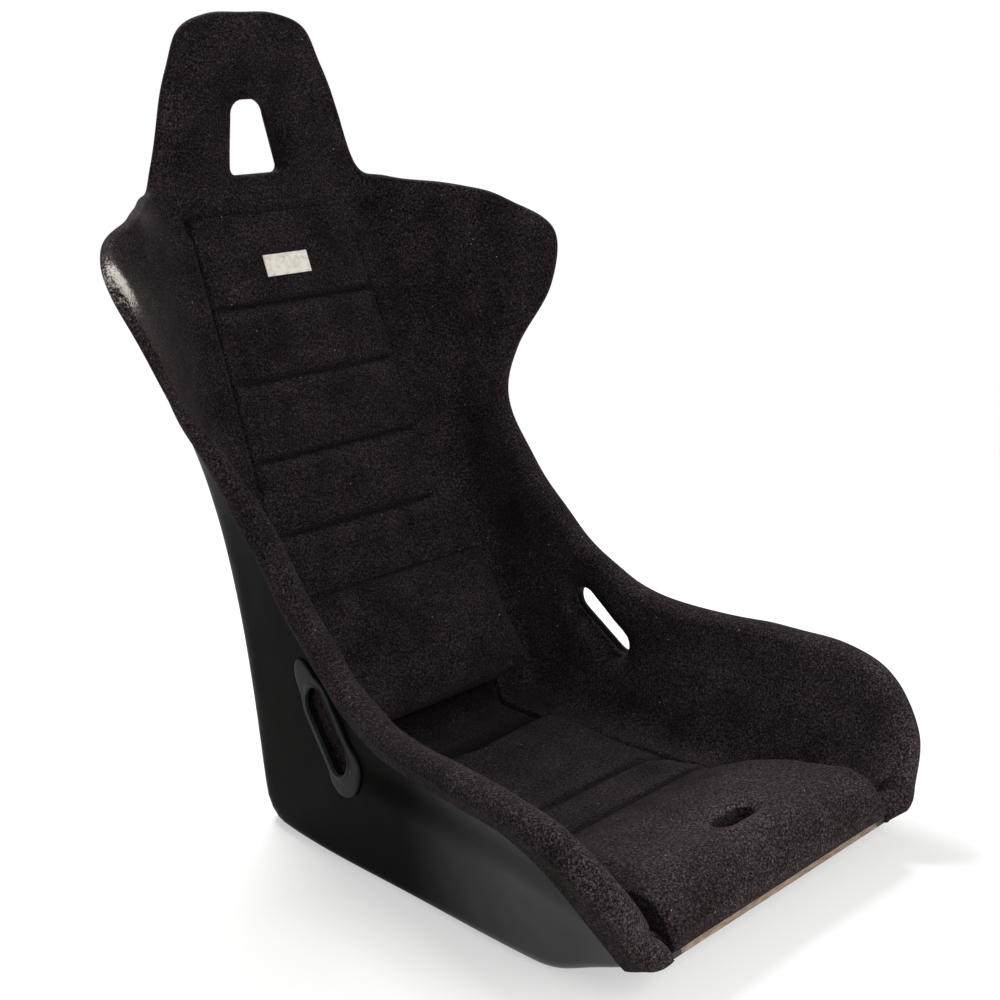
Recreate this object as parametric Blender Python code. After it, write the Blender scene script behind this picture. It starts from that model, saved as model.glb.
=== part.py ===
"""Fixed-back racing seat: a moulded shell, foam trim, loose pads and base mounting hardware.

The seat faces -Y, +X is the sitter's left and Z is up from the flat base that it stands on.
Lengths are in metres.  Every curved piece follows one family of cross-sections: each section
runs from the centre line of the shell, along a flat floor, round a bend and up a wall to the rim.
"""

import math
from dataclasses import dataclass

import bmesh
import bpy
import numpy as np
from mathutils import Vector
from mathutils.bvhtree import BVHTree

# Overall form of the seat
SHOULDER_WIDTH = 0.584
WAIST_WIDTH = 0.400
THIGH_WIDTH = 0.466
NECK_WIDTH = 0.280
HEADREST_TOP_WIDTH = 0.170
BASE_MARGIN = 0.060
BASE_REAR = 0.140
BASE_FRONT = -0.282
FRONT_LIP = -0.380
FRONT_LIP_HEIGHT = 0.037
BACK_LEAN = math.radians(20.0)
NECK_HEIGHT = 0.653
HEADREST_RISE = 0.177
HEADREST_RIM_REACH = 0.016
HEAD_BEND_DROP = 0.027
WING_DROP = 0.085
WING_REACH = 0.168
WAIST_DROP = 0.250
THIGH_HEIGHT = 0.174

# Moulded shell
SHELL_WALL = 0.005
WALL_BEND = 0.044
PAN_BEND = 0.014
HIP_BEND = 0.024
NECK_BEND = 0.014
FRONT_BEND = 0.016

# Foam trim that wraps the rim
THIN_ROLL = 0.006
THICK_ROLL = 0.016
LIP_REACH = 0.040
HEADREST_LIP_REACH = 0.022
LIP_FOAM = 0.004
BACK_FOAM = 0.030
PAN_FOAM = 0.028
HEADREST_FOAM = 0.022

# Pads
PAD_TOP_DROP = 0.049
PAD_LOW_HEIGHT = 0.062
PAD_TOP_HALF = 0.107
BACK_PAD_THICKNESS = 0.032
LUMBAR_HALF = 0.146
LUMBAR_TOP_HEIGHT = 0.194
LUMBAR_LOW_HEIGHT = 0.050
LUMBAR_TOP_THICKNESS = 0.018
LUMBAR_LOW_THICKNESS = 0.044
CUSHION_REAR = 0.043
CUSHION_FRONT = -0.388
CUSHION_REAR_INSET = 0.003
CUSHION_FRONT_HALF = 0.158
CUSHION_REAR_TOP = 0.046
CUSHION_MID_TOP = 0.041
CUSHION_RAMP_TOP = 0.085
CUSHION_RAMP_FOOT = 0.080
CUSHION_NOSE = 0.040
CUSHION_NOSE_DROP = 0.028
CUSHION_EDGE = 0.012
HIP_LINING_THICKNESS = 0.024
LABEL_WIDTH = 0.060
LABEL_LENGTH = 0.025
LABEL_THICKNESS = 0.001
LABEL_DROP = 0.059

# Hook-and-loop strips
STRIP_THICKNESS = 0.0025
STRIP_WIDTH = 0.025
CUSHION_STRIP_LENGTH = 0.180
CUSHION_STRIP_SPREAD = 0.150
LUMBAR_STRIP_LENGTH = 0.200
LUMBAR_STRIP_INSET = 0.020

# Belt openings
LAP_SLOT_LENGTH = 0.094
LAP_SLOT_WIDTH = 0.034
LAP_SLOT_PLACE = 1.29
LAP_SLOT_DROP = 0.065
LAP_SLOT_TURN = math.radians(6.4)
BEZEL_BORDER = 0.008
BEZEL_THICKNESS = 0.003
BEZEL_SEAT = 0.0012
HARNESS_ABOVE_PAD = 0.050
HARNESS_LENGTH = 0.084
HARNESS_LOW_HALF = 0.042
HARNESS_TOP_HALF = 0.030
HARNESS_CORNER = 0.018
EDGING_BORDER = 0.008
EDGING_THICKNESS = 0.003
CROTCH_SLOT_LENGTH = 0.070
CROTCH_SLOT_WIDTH = 0.028
CROTCH_SLOT_Y = -0.322
CROTCH_BEZEL_BORDER = 0.006
CROTCH_BEZEL_THICKNESS = 0.002
CROTCH_BEZEL_CLEARANCE = 0.0025

# Base mounting hardware
MOUNT_SPAN_X = 0.290
MOUNT_SPAN_Y = 0.280
MOUNT_CENTRE_Y = -0.090
PLATE_WIDTH = 0.036
PLATE_OVERHANG = 0.016
PLATE_THICKNESS = 0.003
INSERT_FLANGE_RADIUS = 0.011
INSERT_FLANGE_THICKNESS = 0.0015
INSERT_BARREL_RADIUS = 0.0058
INSERT_BORE_RADIUS = 0.0040

# Clearances and facet counts
FIT_GAP = 0.0003
TRIM_GAP = 0.0006
LIP_GAP = 0.0012
PAD_GAP = 0.0010
STEPS_PER_STATION = 2
FLOOR_STEPS = 2
BEND_STEPS = 3
WALL_STEPS = 3
ROLL_STEPS = 4
ROUND_FACETS = 24
CUTTER_REACH = 1.0
SMOOTH_ANGLE = math.radians(35.0)

# Places in the family of cross-sections
NECK_STATION = 5
LAST_TRIM_STATION = 22
CREST_COLUMN = 8

ACROSS = np.array([1.0, 0.0, 0.0])
FINISHES = {
    "velour": ((0.016, 0.013, 0.014), 0.95, 0.0),
    "laminate": ((0.018, 0.017, 0.016), 0.42, 0.0),
    "plastic": ((0.045, 0.046, 0.048), 0.50, 0.0),
    "woven": ((0.720, 0.690, 0.600), 0.80, 0.0),
    "tape": ((0.025, 0.025, 0.026), 0.90, 0.0),
    "steel": ((0.550, 0.560, 0.570), 0.35, 1.0),
}


@dataclass(frozen=True)
class Station:
    """A cross-section: where it leaves the centre line, its widths and its place on the rim.

    fan is 1 where the section points straight at the rim and 0 where it runs across the seat;
    floor and bend shape the shell, soft_floor and soft_bend the trim in front of it, and roll is
    the radius of the trim over the rim.
    """

    run: float
    fan: float
    floor: float
    bend: float
    soft_floor: float
    soft_bend: float
    foam: float
    roll: float
    crest: tuple


# The centre line

def bend_height():
    """Height at which the leaning back meets the upright headrest."""
    return NECK_HEIGHT - HEAD_BEND_DROP


def headrest_back():
    """Place of the inside of the upright headrest, above the leaning back."""
    return BASE_REAR + (bend_height() - SHELL_WALL) * math.tan(BACK_LEAN)


def pad_top():
    """Height of the top of the back pad."""
    return NECK_HEIGHT - PAD_TOP_DROP


def harness_low():
    """Height of the lower edge of the headrest opening."""
    return pad_top() + HARNESS_ABOVE_PAD


def base_half():
    """Half-width of the flat base, which carries the mounting plates."""
    return MOUNT_SPAN_X / 2.0 + BASE_MARGIN


def pad_low_half():
    """Half-width of the pads at the foot of the back, between the mounting plates."""
    return (MOUNT_SPAN_X - PLATE_WIDTH) / 2.0 - PAD_GAP


def cushion_rear_half():
    """Half-width of the rear edge of the seat cushion."""
    return pad_low_half() - CUSHION_REAR_INSET


def waist_height():
    """Height of the narrowest part of the sides."""
    return NECK_HEIGHT - WING_DROP - WAIST_DROP


def hip_rim(place):
    """Point (y, z) of the rim above the hips, from its upper station at 0 to its lower one at 1."""
    run, share = 0.215 + 0.106 * place, 0.5 - 0.3 * place
    y = WING_REACH + run * (FRONT_LIP - WING_REACH)
    return np.array([y, share * waist_height() + (1.0 - share) * THIGH_HEIGHT])


def lap_slot_frame():
    """Middle (y, z) of the lap-belt slots and their directions along and across, from the rim above."""
    climb = hip_rim(0.0) - hip_rim(1.0)
    slope = math.atan2(climb[1], climb[0])
    middle = hip_rim(LAP_SLOT_PLACE) + LAP_SLOT_DROP * np.array([math.sin(slope), -math.cos(slope)])
    tilt = slope + LAP_SLOT_TURN
    along = np.array([math.cos(tilt), math.sin(tilt)])
    return middle, along, np.array([-along[1], along[0]])


def up_back(height):
    """Run along the centre line for a height on the leaning back."""
    return -(height - SHELL_WALL) / math.cos(BACK_LEAN)


def up_headrest(height):
    """Run along the centre line for a height on the upright headrest."""
    return up_back(bend_height()) - (height - bend_height())


def on_pan(y):
    """Run along the centre line for a place on the flat pan."""
    return BASE_REAR - y


def on_ramp(share):
    """Run along the centre line for a share of the front ramp."""
    return on_pan(BASE_FRONT) + share * ramp_length()


def ramp_rise():
    """Step from the foot of the front ramp to the front lip."""
    return np.array([FRONT_LIP - BASE_FRONT, FRONT_LIP_HEIGHT - SHELL_WALL])


def ramp_length():
    """Length of the front ramp."""
    return float(np.linalg.norm(ramp_rise()))


def round_corner(share, before, after):
    """Offset from a corner, per unit of cut, and direction at a share of its round bend."""
    turn = math.atan2(before[0] * after[1] - before[1] * after[0], before @ after)
    hand = math.copysign(1.0, turn)
    cos, sin = math.cos(share * turn), math.sin(share * turn)
    direction = np.array([before[0] * cos - before[1] * sin, before[0] * sin + before[1] * cos])
    start_side = hand * np.array([-before[1], before[0]])
    side = hand * np.array([-direction[1], direction[0]])
    return (start_side - side) / math.tan(abs(turn) / 2.0) - before, direction


def spine(run):
    """Point (y, z) and direction of the centre line of the shell's inside, from headrest to lip."""
    down_head = np.array([0.0, -1.0])
    down_back = np.array([-math.sin(BACK_LEAN), -math.cos(BACK_LEAN)])
    along_pan = np.array([-1.0, 0.0])
    up_ramp = ramp_rise() / ramp_length()
    neck = np.array([headrest_back(), bend_height()])
    hip = np.array([BASE_REAR, SHELL_WALL])
    front = np.array([BASE_FRONT, SHELL_WALL])
    corners = (
        (neck, up_back(bend_height()), down_head, down_back, NECK_BEND),
        (hip, 0.0, down_back, along_pan, HIP_BEND),
        (front, on_pan(BASE_FRONT), along_pan, up_ramp, FRONT_BEND),
    )
    for place, at, before, after, cut in corners:
        if abs(run - at) < cut:
            offset, direction = round_corner((run - at + cut) / (2.0 * cut), before, after)
            return place + cut * offset, direction
        if run < at:
            return place + (run - at) * before, before
    return place + (run - at) * after, after


def pad_half(run):
    """Half-width of the pads between the two side trims at a run of the centre line."""
    (y, z), _ = spine(run)
    if run < 0.0:
        share = (pad_top() - z) / (pad_top() - PAD_LOW_HEIGHT)
        return PAD_TOP_HALF + min(share, 1.0) * (pad_low_half() - PAD_TOP_HALF)
    share = max((CUSHION_REAR - y) / (CUSHION_REAR - CUSHION_FRONT), 0.0)
    low = pad_low_half() + min(run / on_pan(CUSHION_REAR), 1.0) * (cushion_rear_half() - pad_low_half())
    return low + share * (CUSHION_FRONT_HALF - cushion_rear_half())


# The family of cross-sections

def stations():
    """Cross-sections from the top of the headrest, down the back and out to the front lip."""
    shoulder = SHOULDER_WIDTH / 2.0
    waist = WAIST_WIDTH / 2.0
    thigh = THIGH_WIDTH / 2.0
    neck = NECK_WIDTH / 2.0
    crown = HEADREST_TOP_WIDTH / 2.0
    base = base_half()
    front = CUSHION_FRONT_HALF
    head = headrest_back() - HEADREST_RIM_REACH
    rise = HEADREST_RISE
    top = NECK_HEIGHT + rise
    tip = NECK_HEIGHT - WING_DROP
    drop = WAIST_DROP
    narrow = waist_height()
    reach = WING_REACH
    run = FRONT_LIP - WING_REACH
    lip = FRONT_LIP
    level = THIGH_HEIGHT
    mid_roll = 0.5 * (THIN_ROLL + THICK_ROLL)
    head_rows = (
        (0.26, 1.0, 0.13 * neck, 0.14, 0.10 * neck, 0.23, (0.0, head, top)),
        (0.294, 1.0, 0.27 * neck, 0.27, 0.185 * neck, 0.32, (0.53 * crown, head, top - 0.011 * rise)),
        (0.373, 1.0, 0.44 * neck, 0.36, 0.33 * neck, 0.455, (0.953 * crown, head, top - 0.102 * rise)),
        (0.497, 1.0, 0.53 * neck, 0.36, 0.414 * neck, 0.50, (1.19 * crown, head, top - 0.328 * rise)),
        (0.723, 0.6, 0.643 * neck, 0.41, 0.514 * neck, 0.545,
         (0.35 * crown + 0.65 * neck, head - 0.3 * THIN_ROLL, top - 0.644 * rise)),
    )
    back_rows = (
        (tip + 0.048 * drop, 0.71, 0.59, 0.66, 0.455, THIN_ROLL,
         (0.82 * neck + 0.18 * shoulder, 0.84 * head + 0.16 * reach, NECK_HEIGHT - 0.048 * drop)),
        (tip - 0.048 * drop, 0.75, 0.77, 0.69, 0.59, THIN_ROLL,
         (0.45 * neck + 0.55 * shoulder, 0.46 * head + 0.54 * reach, tip + 0.232 * drop)),
        (tip - 0.136 * drop, 0.78, 0.91, 0.71, 0.68, THIN_ROLL,
         (0.931 * shoulder, 0.274 * head + 0.726 * reach, tip + 0.144 * drop)),
        (tip - 0.256 * drop, 0.80, 1.0, 0.73, 0.77, THIN_ROLL, (shoulder, reach, tip)),
        (tip - 0.448 * drop, 0.81, 1.0, 0.75, 0.77, THIN_ROLL,
         (0.925 * shoulder, reach + 0.022 * run, tip - 0.248 * drop)),
        (tip - 0.672 * drop, 0.805, 0.955, 0.775, 0.73, THIN_ROLL,
         (0.66 * waist + 0.34 * shoulder, reach - 0.015 * run, tip - 0.52 * drop)),
        (tip - 0.888 * drop, 0.815, 0.955, 0.80, 0.68, mid_roll,
         (waist, reach + 0.004 * run, tip - 0.736 * drop)),
        (0.865 * narrow, 0.835, 0.955, 0.82, 0.636, THICK_ROLL,
         (0.94 * waist, reach + 0.095 * run, narrow)),
        (0.629 * narrow, 0.87, 0.91, 0.835, 0.636, THICK_ROLL,
         (0.95 * waist, *hip_rim(0.0))),
        (0.377 * narrow, 0.92, 0.77, 0.85, 0.636, THICK_ROLL,
         (0.98 * waist, *hip_rim(1.0))),
    )
    pan_rows = (
        (0.0, 0.97, 1.43, 0.83, 0.636, THICK_ROLL,
         (1.01 * waist, reach + 0.4015 * run, 0.07 * narrow + 0.93 * level)),
        (0.237, 1.0, 1.0, 0.80, 0.68, THICK_ROLL, (0.6 * waist + 0.4 * thigh, reach + 0.5 * run, level)),
        (0.569, 1.0, 1.0, 0.77, 0.545, THICK_ROLL, (0.97 * thigh, reach + 0.675 * run, level)),
        (0.841, 1.0, 1.0, 0.81, 0.455, THICK_ROLL, (thigh, reach + 0.832 * run, 0.983 * level)),
    )
    ramp_rows = (
        (0.02, 0.985 * base, 1.0, 0.84 * base, 0.41, THICK_ROLL,
         (0.98 * thigh, reach + 0.934 * run, 0.86 * level)),
        (0.40, 0.93 * base, 1.0, 0.84 * base, 0.32, THICK_ROLL, (0.91 * thigh, lip, 0.62 * level)),
        (0.78, 1.127 * front, 0.57, 1.076 * front, 0.18, mid_roll,
         (1.215 * front, lip - THIN_ROLL, 0.40 * level)),
        (1.00, 1.05 * front, 0.29, 1.044 * front, 0.09, THIN_ROLL,
         (1.10 * front, lip - 0.5 * THIN_ROLL, FRONT_LIP_HEIGHT + 3.0 * THIN_ROLL)),
    )
    rows = [
        Station(up_headrest(top - share * rise), fan, floor, bend * WALL_BEND, soft, soft_bend * WALL_BEND,
                HEADREST_FOAM, THIN_ROLL, crest)
        for share, fan, floor, bend, soft, soft_bend, crest in head_rows
    ]
    rows.append(Station(up_back(pad_top()), 0.0, 0.943 * neck, 0.41 * WALL_BEND, 0.914 * neck,
                        0.364 * WALL_BEND, HEADREST_FOAM, THIN_ROLL, (neck, head - THIN_ROLL, NECK_HEIGHT)))
    rows += [
        Station(up_back(height), 0.0, floor * waist, bend * WALL_BEND, soft * waist, soft_bend * WALL_BEND,
                BACK_FOAM, roll, crest)
        for height, floor, bend, soft, soft_bend, roll, crest in back_rows
    ]
    rows += [
        Station(share * on_pan(BASE_FRONT), 0.0, floor * base, bend * PAN_BEND, soft * base,
                soft_bend * WALL_BEND, BACK_FOAM if share == 0.0 else PAN_FOAM, roll, crest)
        for share, floor, bend, soft, soft_bend, roll, crest in pan_rows
    ]
    rows += [
        Station(on_ramp(share), 0.0, floor, bend * PAN_BEND, soft, soft_bend * WALL_BEND, PAN_FOAM, roll, crest)
        for share, floor, bend, soft, soft_bend, roll, crest in ramp_rows
    ]
    return rows


def smooth_rows(rows, steps):
    """Catmull-Rom curve through the rows, several steps to each stretch, mirrored at the first row."""
    before = rows[1] * np.where(np.arange(rows.shape[1]) == CREST_COLUMN, -1.0, 1.0)
    after = 2.0 * rows[-1] - rows[-2]
    padded = np.vstack([before, rows, after])
    place = np.linspace(0.0, len(rows) - 1.0, (len(rows) - 1) * steps + 1)
    index = np.minimum(place.astype(int), len(rows) - 2)
    t = (place - index)[:, None]
    a, b, c, d = (padded[index + k] for k in range(4))
    return 0.5 * (2 * b + (c - a) * t + (2 * a - 5 * b + 4 * c - d) * t**2 + (3 * b - a - 3 * c + d) * t**3)


def unit(vectors):
    """Vectors scaled to length one."""
    return vectors / np.linalg.norm(vectors, axis=-1, keepdims=True)


class Sections:
    """Whole arrays for every ring: control points of the shell and of the trim in front of it."""

    def __init__(self):
        rows = [(*list(vars(station).values())[:-1], *station.crest) for station in stations()]
        table = smooth_rows(np.array(rows), STEPS_PER_STATION)
        self.run, fan, floor, bend, soft_floor, soft_bend, self.foam, self.roll = table[:, :CREST_COLUMN].T
        self.crest = table[:, CREST_COLUMN:]
        self.crest[0, 0] = 0.0
        points, directions = zip(*(spine(run) for run in self.run))
        self.centre = np.column_stack([np.zeros(len(points)), np.array(points)])
        along = np.column_stack([np.zeros(len(points)), np.array(directions)])
        self.inward = np.column_stack([np.zeros(len(points)), along[:, 2], -along[:, 1]])
        reach = self.crest - self.centre
        swing = np.clip(fan, 0.0, 1.0) * np.arctan2((reach * along).sum(1), reach[:, 0])
        self.out = np.cos(swing)[:, None] * ACROSS + np.sin(swing)[:, None] * along
        self.corner = self.centre + self.out * floor[:, None]
        self.wall = unit(self.crest - self.corner)
        beyond = 2 * self.crest[-1:] - self.crest[-2:-1]
        ahead = np.vstack([self.crest[1:2] * [-1, 1, 1], self.crest, beyond])
        self.outward = unit(np.cross(self.wall, ahead[2:] - ahead[:-2]))
        self.rim = self.crest - self.wall * self.roll[:, None] - self.outward * SHELL_WALL / 2.0
        edge = np.array([pad_half(run) for run in self.run]) + PAD_GAP / 2.0
        on_head = self.run < up_back(pad_top()) - FIT_GAP
        self.edge = np.where(on_head, np.minimum(edge, 0.5 * (floor - bend)), edge)
        wall_length = np.linalg.norm(self.rim - self.corner, axis=1)
        self.bend = np.minimum(bend, np.minimum(floor - self.edge - 3 * PAD_GAP, 0.8 * wall_length))
        self.soft_corner = self.centre + self.out * soft_floor[:, None] + self.inward * self.foam[:, None]
        self.soft_bend = np.minimum(soft_bend, soft_floor - self.edge - 2 * PAD_GAP)
        over_pan = np.clip(self.run / HIP_BEND, 0.0, 1.0)
        self.bed = TRIM_GAP + over_pan * hardware_height()

    def controls(self, offset):
        """Centre, corner and rim points of the shell's surface moved outwards by an offset."""
        back = -self.inward
        facing = (back * self.outward).sum(1, keepdims=True)
        corner = self.corner + offset * (back + self.outward) / (1.0 + facing)
        half_turn = np.sqrt(np.maximum(1.0 - facing, 0.0) / (1.0 + facing))[:, 0]
        rim = self.rim + offset * self.outward
        return self.centre + offset * back, corner, rim, self.bend + offset * half_turn

    def surface(self, offset):
        """Grid of points over the whole section, from the centre line to the rim."""
        start, corner, rim, cut = self.controls(offset)
        steps = np.linspace(0.0, 1.0, FLOOR_STEPS + 1)
        floor = start[:, None] + self.out[:, None] * (self.edge[:, None] * steps)[..., None]
        return np.concatenate([floor, self.bend_and_wall(start, corner, rim, cut)], axis=1)

    @staticmethod
    def bend_and_wall(start, corner, end, cut):
        """Points from the start of a bend, round it as a parabola, and on to the end of the wall."""
        t = np.linspace(0.0, 1.0, BEND_STEPS + 1)[None, :, None]
        first = corner + unit(start - corner) * cut[:, None]
        last = corner + unit(end - corner) * cut[:, None]
        arc = first[:, None] * (1 - t) ** 2 + corner[:, None] * 2 * t * (1 - t) + last[:, None] * t**2
        s = np.linspace(0.0, 1.0, WALL_STEPS + 1)[None, 1:, None]
        return np.concatenate([arc, last[:, None] * (1 - s) + end[:, None] * s], axis=1)

    def half_circle(self, radius):
        """Points over the rim from its inner to its outer side, on a half circle."""
        middle = self.rim + self.outward * SHELL_WALL / 2.0
        angle = np.linspace(0.0, math.pi, ROLL_STEPS + 1)[None, :, None]
        spokes = np.sin(angle) * self.wall[:, None] - np.cos(angle) * self.outward[:, None]
        return middle[:, None] + np.reshape(radius, (-1, 1, 1)) * spokes

    def lip(self, offset, length):
        """End of the trim's turned-over lip, down the outside of the wall."""
        _, corner, rim, _ = self.controls(offset)
        return (rim + unit(corner - rim) * length[:, None])[:, None]

    def trim(self, first, last, from_centre, lip_reach):
        """Front and back grids of a piece of trim between two rings."""
        steps = np.linspace(0.0 if from_centre else 1.0, 1.0, FLOOR_STEPS + 1 if from_centre else 1)
        lead = self.edge[:, None] * steps
        foot = self.centre[:, None] + self.out[:, None] * lead[..., None]
        start, corner, rim, cut = self.controls(-TRIM_GAP)
        under = self.bend_and_wall(start, corner, rim, cut)
        lift = np.zeros(under.shape[1])
        lift[:BEND_STEPS] = np.linspace(1.0, 0.0, BEND_STEPS + 1)[:-1]
        raise_by = (self.bed - TRIM_GAP)[:, None, None] * self.inward[:, None]
        back = np.concatenate([
            foot + self.bed[:, None, None] * self.inward[:, None],
            under + raise_by * lift[None, :, None],
            self.half_circle(SHELL_WALL / 2.0 + TRIM_GAP)[:, 1:],
            self.lip(SHELL_WALL + LIP_GAP, lip_reach - self.roll),
        ], axis=1)
        inside = self.half_circle(self.roll)
        soft_start = self.centre + self.inward * self.foam[:, None]
        front = np.concatenate([
            foot + self.foam[:, None, None] * self.inward[:, None],
            self.bend_and_wall(soft_start, self.soft_corner, inside[:, 0], self.soft_bend),
            inside[:, 1:],
            self.lip(SHELL_WALL + LIP_FOAM, lip_reach - self.roll),
        ], axis=1)
        return front[first:last + 1], back[first:last + 1]


def hardware_height():
    """Height of the mounting plates and insert flanges above the inside of the pan."""
    return PLATE_THICKNESS + INSERT_FLANGE_THICKNESS + 2.0 * FIT_GAP


def cushion_floor():
    """Height of the underside of the seat cushion, on its two strips."""
    return SHELL_WALL + max(2.0 * STRIP_THICKNESS + 3.0 * FIT_GAP, hardware_height() + 2.0 * FIT_GAP)


# Mesh helpers

def finish(name):
    """The material of a finish."""
    colour, roughness, metallic = FINISHES[name]
    material = bpy.data.materials.get(name)
    if material is None:
        material = bpy.data.materials.new(name)
        material.use_nodes = True
        shader = material.node_tree.nodes["Principled BSDF"]
        shader.inputs["Base Color"].default_value = (*colour, 1.0)
        shader.inputs["Roughness"].default_value = roughness
        shader.inputs["Metallic"].default_value = metallic
    return material


def add_object(name, points, faces, finish_name, origin=(0.0, 0.0, 0.0), carrier=None):
    """A closed mesh object with its faces turned outwards, its origin at a point or at its carrier's."""
    place = np.array(carrier.location if carrier else origin)
    mesh = bpy.data.meshes.new(name)
    mesh.from_pydata((points - place).tolist(), [], faces)
    shape = bmesh.new()
    shape.from_mesh(mesh)
    bmesh.ops.remove_doubles(shape, verts=shape.verts, dist=1e-6)
    quads = [f for f in shape.faces if len(f.verts) == 4]
    bmesh.ops.triangulate(shape, faces=quads, quad_method="FIXED")
    bmesh.ops.recalc_face_normals(shape, faces=shape.faces)
    shape.to_mesh(mesh)
    shape.free()
    mesh.shade_smooth()
    mesh.set_sharp_from_angle(angle=SMOOTH_ANGLE)
    mesh.materials.append(finish(finish_name))
    thing = bpy.data.objects.new(name, mesh)
    if carrier:
        thing.parent = carrier
    else:
        thing.location = origin
    bpy.context.scene.collection.objects.link(thing)
    return thing


def slab(front, back, open_sides):
    """Points and faces of a solid between two grids; open_sides lie on the plane of symmetry."""
    rows, columns = front.shape[:2]
    points = np.concatenate([front.reshape(-1, 3), back.reshape(-1, 3)])
    cell = np.arange(rows * columns).reshape(rows, columns)
    far = cell + rows * columns
    faces = []
    for grid in (cell, far):
        quads = np.stack([grid[:-1, :-1], grid[1:, :-1], grid[1:, 1:], grid[:-1, 1:]], axis=-1)
        faces += quads.reshape(-1, 4).tolist()
    sides = {"start": (cell[0], far[0]), "end": (cell[-1], far[-1]),
             "centre": (cell[:, 0], far[:, 0]), "rim": (cell[:, -1], far[:, -1])}
    for side, (near, away) in sides.items():
        if side not in open_sides:
            faces += np.stack([near[:-1], near[1:], away[1:], away[:-1]], axis=-1).tolist()
    return points, faces


def mirrored(points, faces):
    """A half solid and its mirror image across the plane of symmetry."""
    count = len(points)
    other = points * np.array([-1.0, 1.0, 1.0])
    return np.concatenate([points, other]), faces + [[v + count for v in face] for face in faces]


def prism(outline, depth):
    """Points and faces of an outline (u, v) extruded from 0 to a depth along w."""
    count = len(outline)
    flat = np.column_stack([np.array(outline), np.zeros(count)])
    points = np.concatenate([flat, flat + [0.0, 0.0, depth]])
    faces = [list(range(count)), list(range(count, 2 * count))]
    faces += [[i, (i + 1) % count, (i + 1) % count + count, i + count] for i in range(count)]
    return points, faces


def ring_prism(outer, inner, depth):
    """Points and faces of a flat ring between two outlines with as many points, of a depth along w."""
    count = len(outer)
    loops = [np.column_stack([np.array(outline), np.full(count, height)])
             for outline, height in ((outer, 0.0), (outer, depth), (inner, depth), (inner, 0.0))]
    faces = []
    for ring in range(4):
        here, after = ring * count, (ring + 1) % 4 * count
        for i in range(count):
            j = (i + 1) % count
            faces.append([here + i, here + j, after + j, after + i])
    return np.concatenate(loops), faces


def placed(points, origin, u, v, w):
    """Points of a local frame moved into the seat's frame."""
    return np.asarray(origin) + points @ np.array([u, v, w])


def block(size):
    """Points and faces of a box centred on u and v that stands on w = 0."""
    width, length, height = size
    right = [(width / 2, -length / 2), (width / 2, length / 2)]
    return prism(right + [(-u, -v) for u, v in right], height)


def stadium(length, width):
    """Outline of a slot with round ends, along u."""
    half = (length - width) / 2.0
    angles = np.linspace(-math.pi / 2, math.pi / 2, ROUND_FACETS // 2)
    right = [(half + width / 2 * math.cos(a), width / 2 * math.sin(a)) for a in angles]
    return right + [(-u, -v) for u, v in right]


def circle(radius):
    """Outline of a circle."""
    angles = np.arange(ROUND_FACETS) * 2.0 * math.pi / ROUND_FACETS
    return [(radius * math.cos(a), radius * math.sin(a)) for a in angles]


def take_out(thing, cutter):
    """Take a cutter out of an object with a Boolean modifier."""
    modifier = thing.modifiers.new("opening", "BOOLEAN")
    modifier.operation = "DIFFERENCE"
    modifier.object = cutter


def add_cutter(name, points, faces):
    """A hidden solid that only cuts other pieces."""
    cutter = add_object(name, points, faces, "plastic")
    cutter.hide_render = True
    cutter.display_type = "WIRE"
    return cutter


# Frames of the leaning back, the ramp and the slots

def back_frame(height):
    """Point on the inside of the back at a height, and its across, up and forward directions."""
    (y, z), direction = spine(up_back(height))
    up = np.array([0.0, -direction[0], -direction[1]])
    forward = np.array([0.0, direction[1], -direction[0]])
    return np.array([0.0, y, z]), ACROSS, up, forward


def ramp_frame(y):
    """Point on the inside of the front ramp, and its across, along and downward directions."""
    rise = ramp_rise() / ramp_length()
    z = SHELL_WALL + (y - BASE_FRONT) * rise[1] / rise[0]
    along = np.array([0.0, -rise[0], -rise[1]])
    return np.array([0.0, y, z]), ACROSS, along, np.cross(ACROSS, along) * -1.0


def harness_outline(border):
    """Outline of the headrest opening (x, z): a tapered window with round upper corners."""
    low, top = harness_low() - border, harness_low() + HARNESS_LENGTH + border
    foot, crown = HARNESS_LOW_HALF + border, HARNESS_TOP_HALF + border
    radius = HARNESS_CORNER + border
    angles = np.linspace(0.0, math.pi / 2.0, ROUND_FACETS // 4 + 1)
    corner = [(crown - radius + radius * math.cos(a), top - radius + radius * math.sin(a)) for a in angles]
    right = [(foot, low), *corner]
    return right + [(-x, z) for x, z in reversed(right)]


# Pieces

def build_shell(sections, cutters):
    """One-piece laminate moulding: headrest plate, back, pan, sides and front ramp."""
    points, faces = slab(sections.surface(0.0), sections.surface(SHELL_WALL), ("centre", "start"))
    shell = add_object("shell", *mirrored(points, faces), "laminate")
    for name in ("harness", "lap_slot", "crotch_slot"):
        take_out(shell, cutters[name])
    for bore in cutters["mount_bores"]:
        take_out(shell, bore)
    return shell


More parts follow.
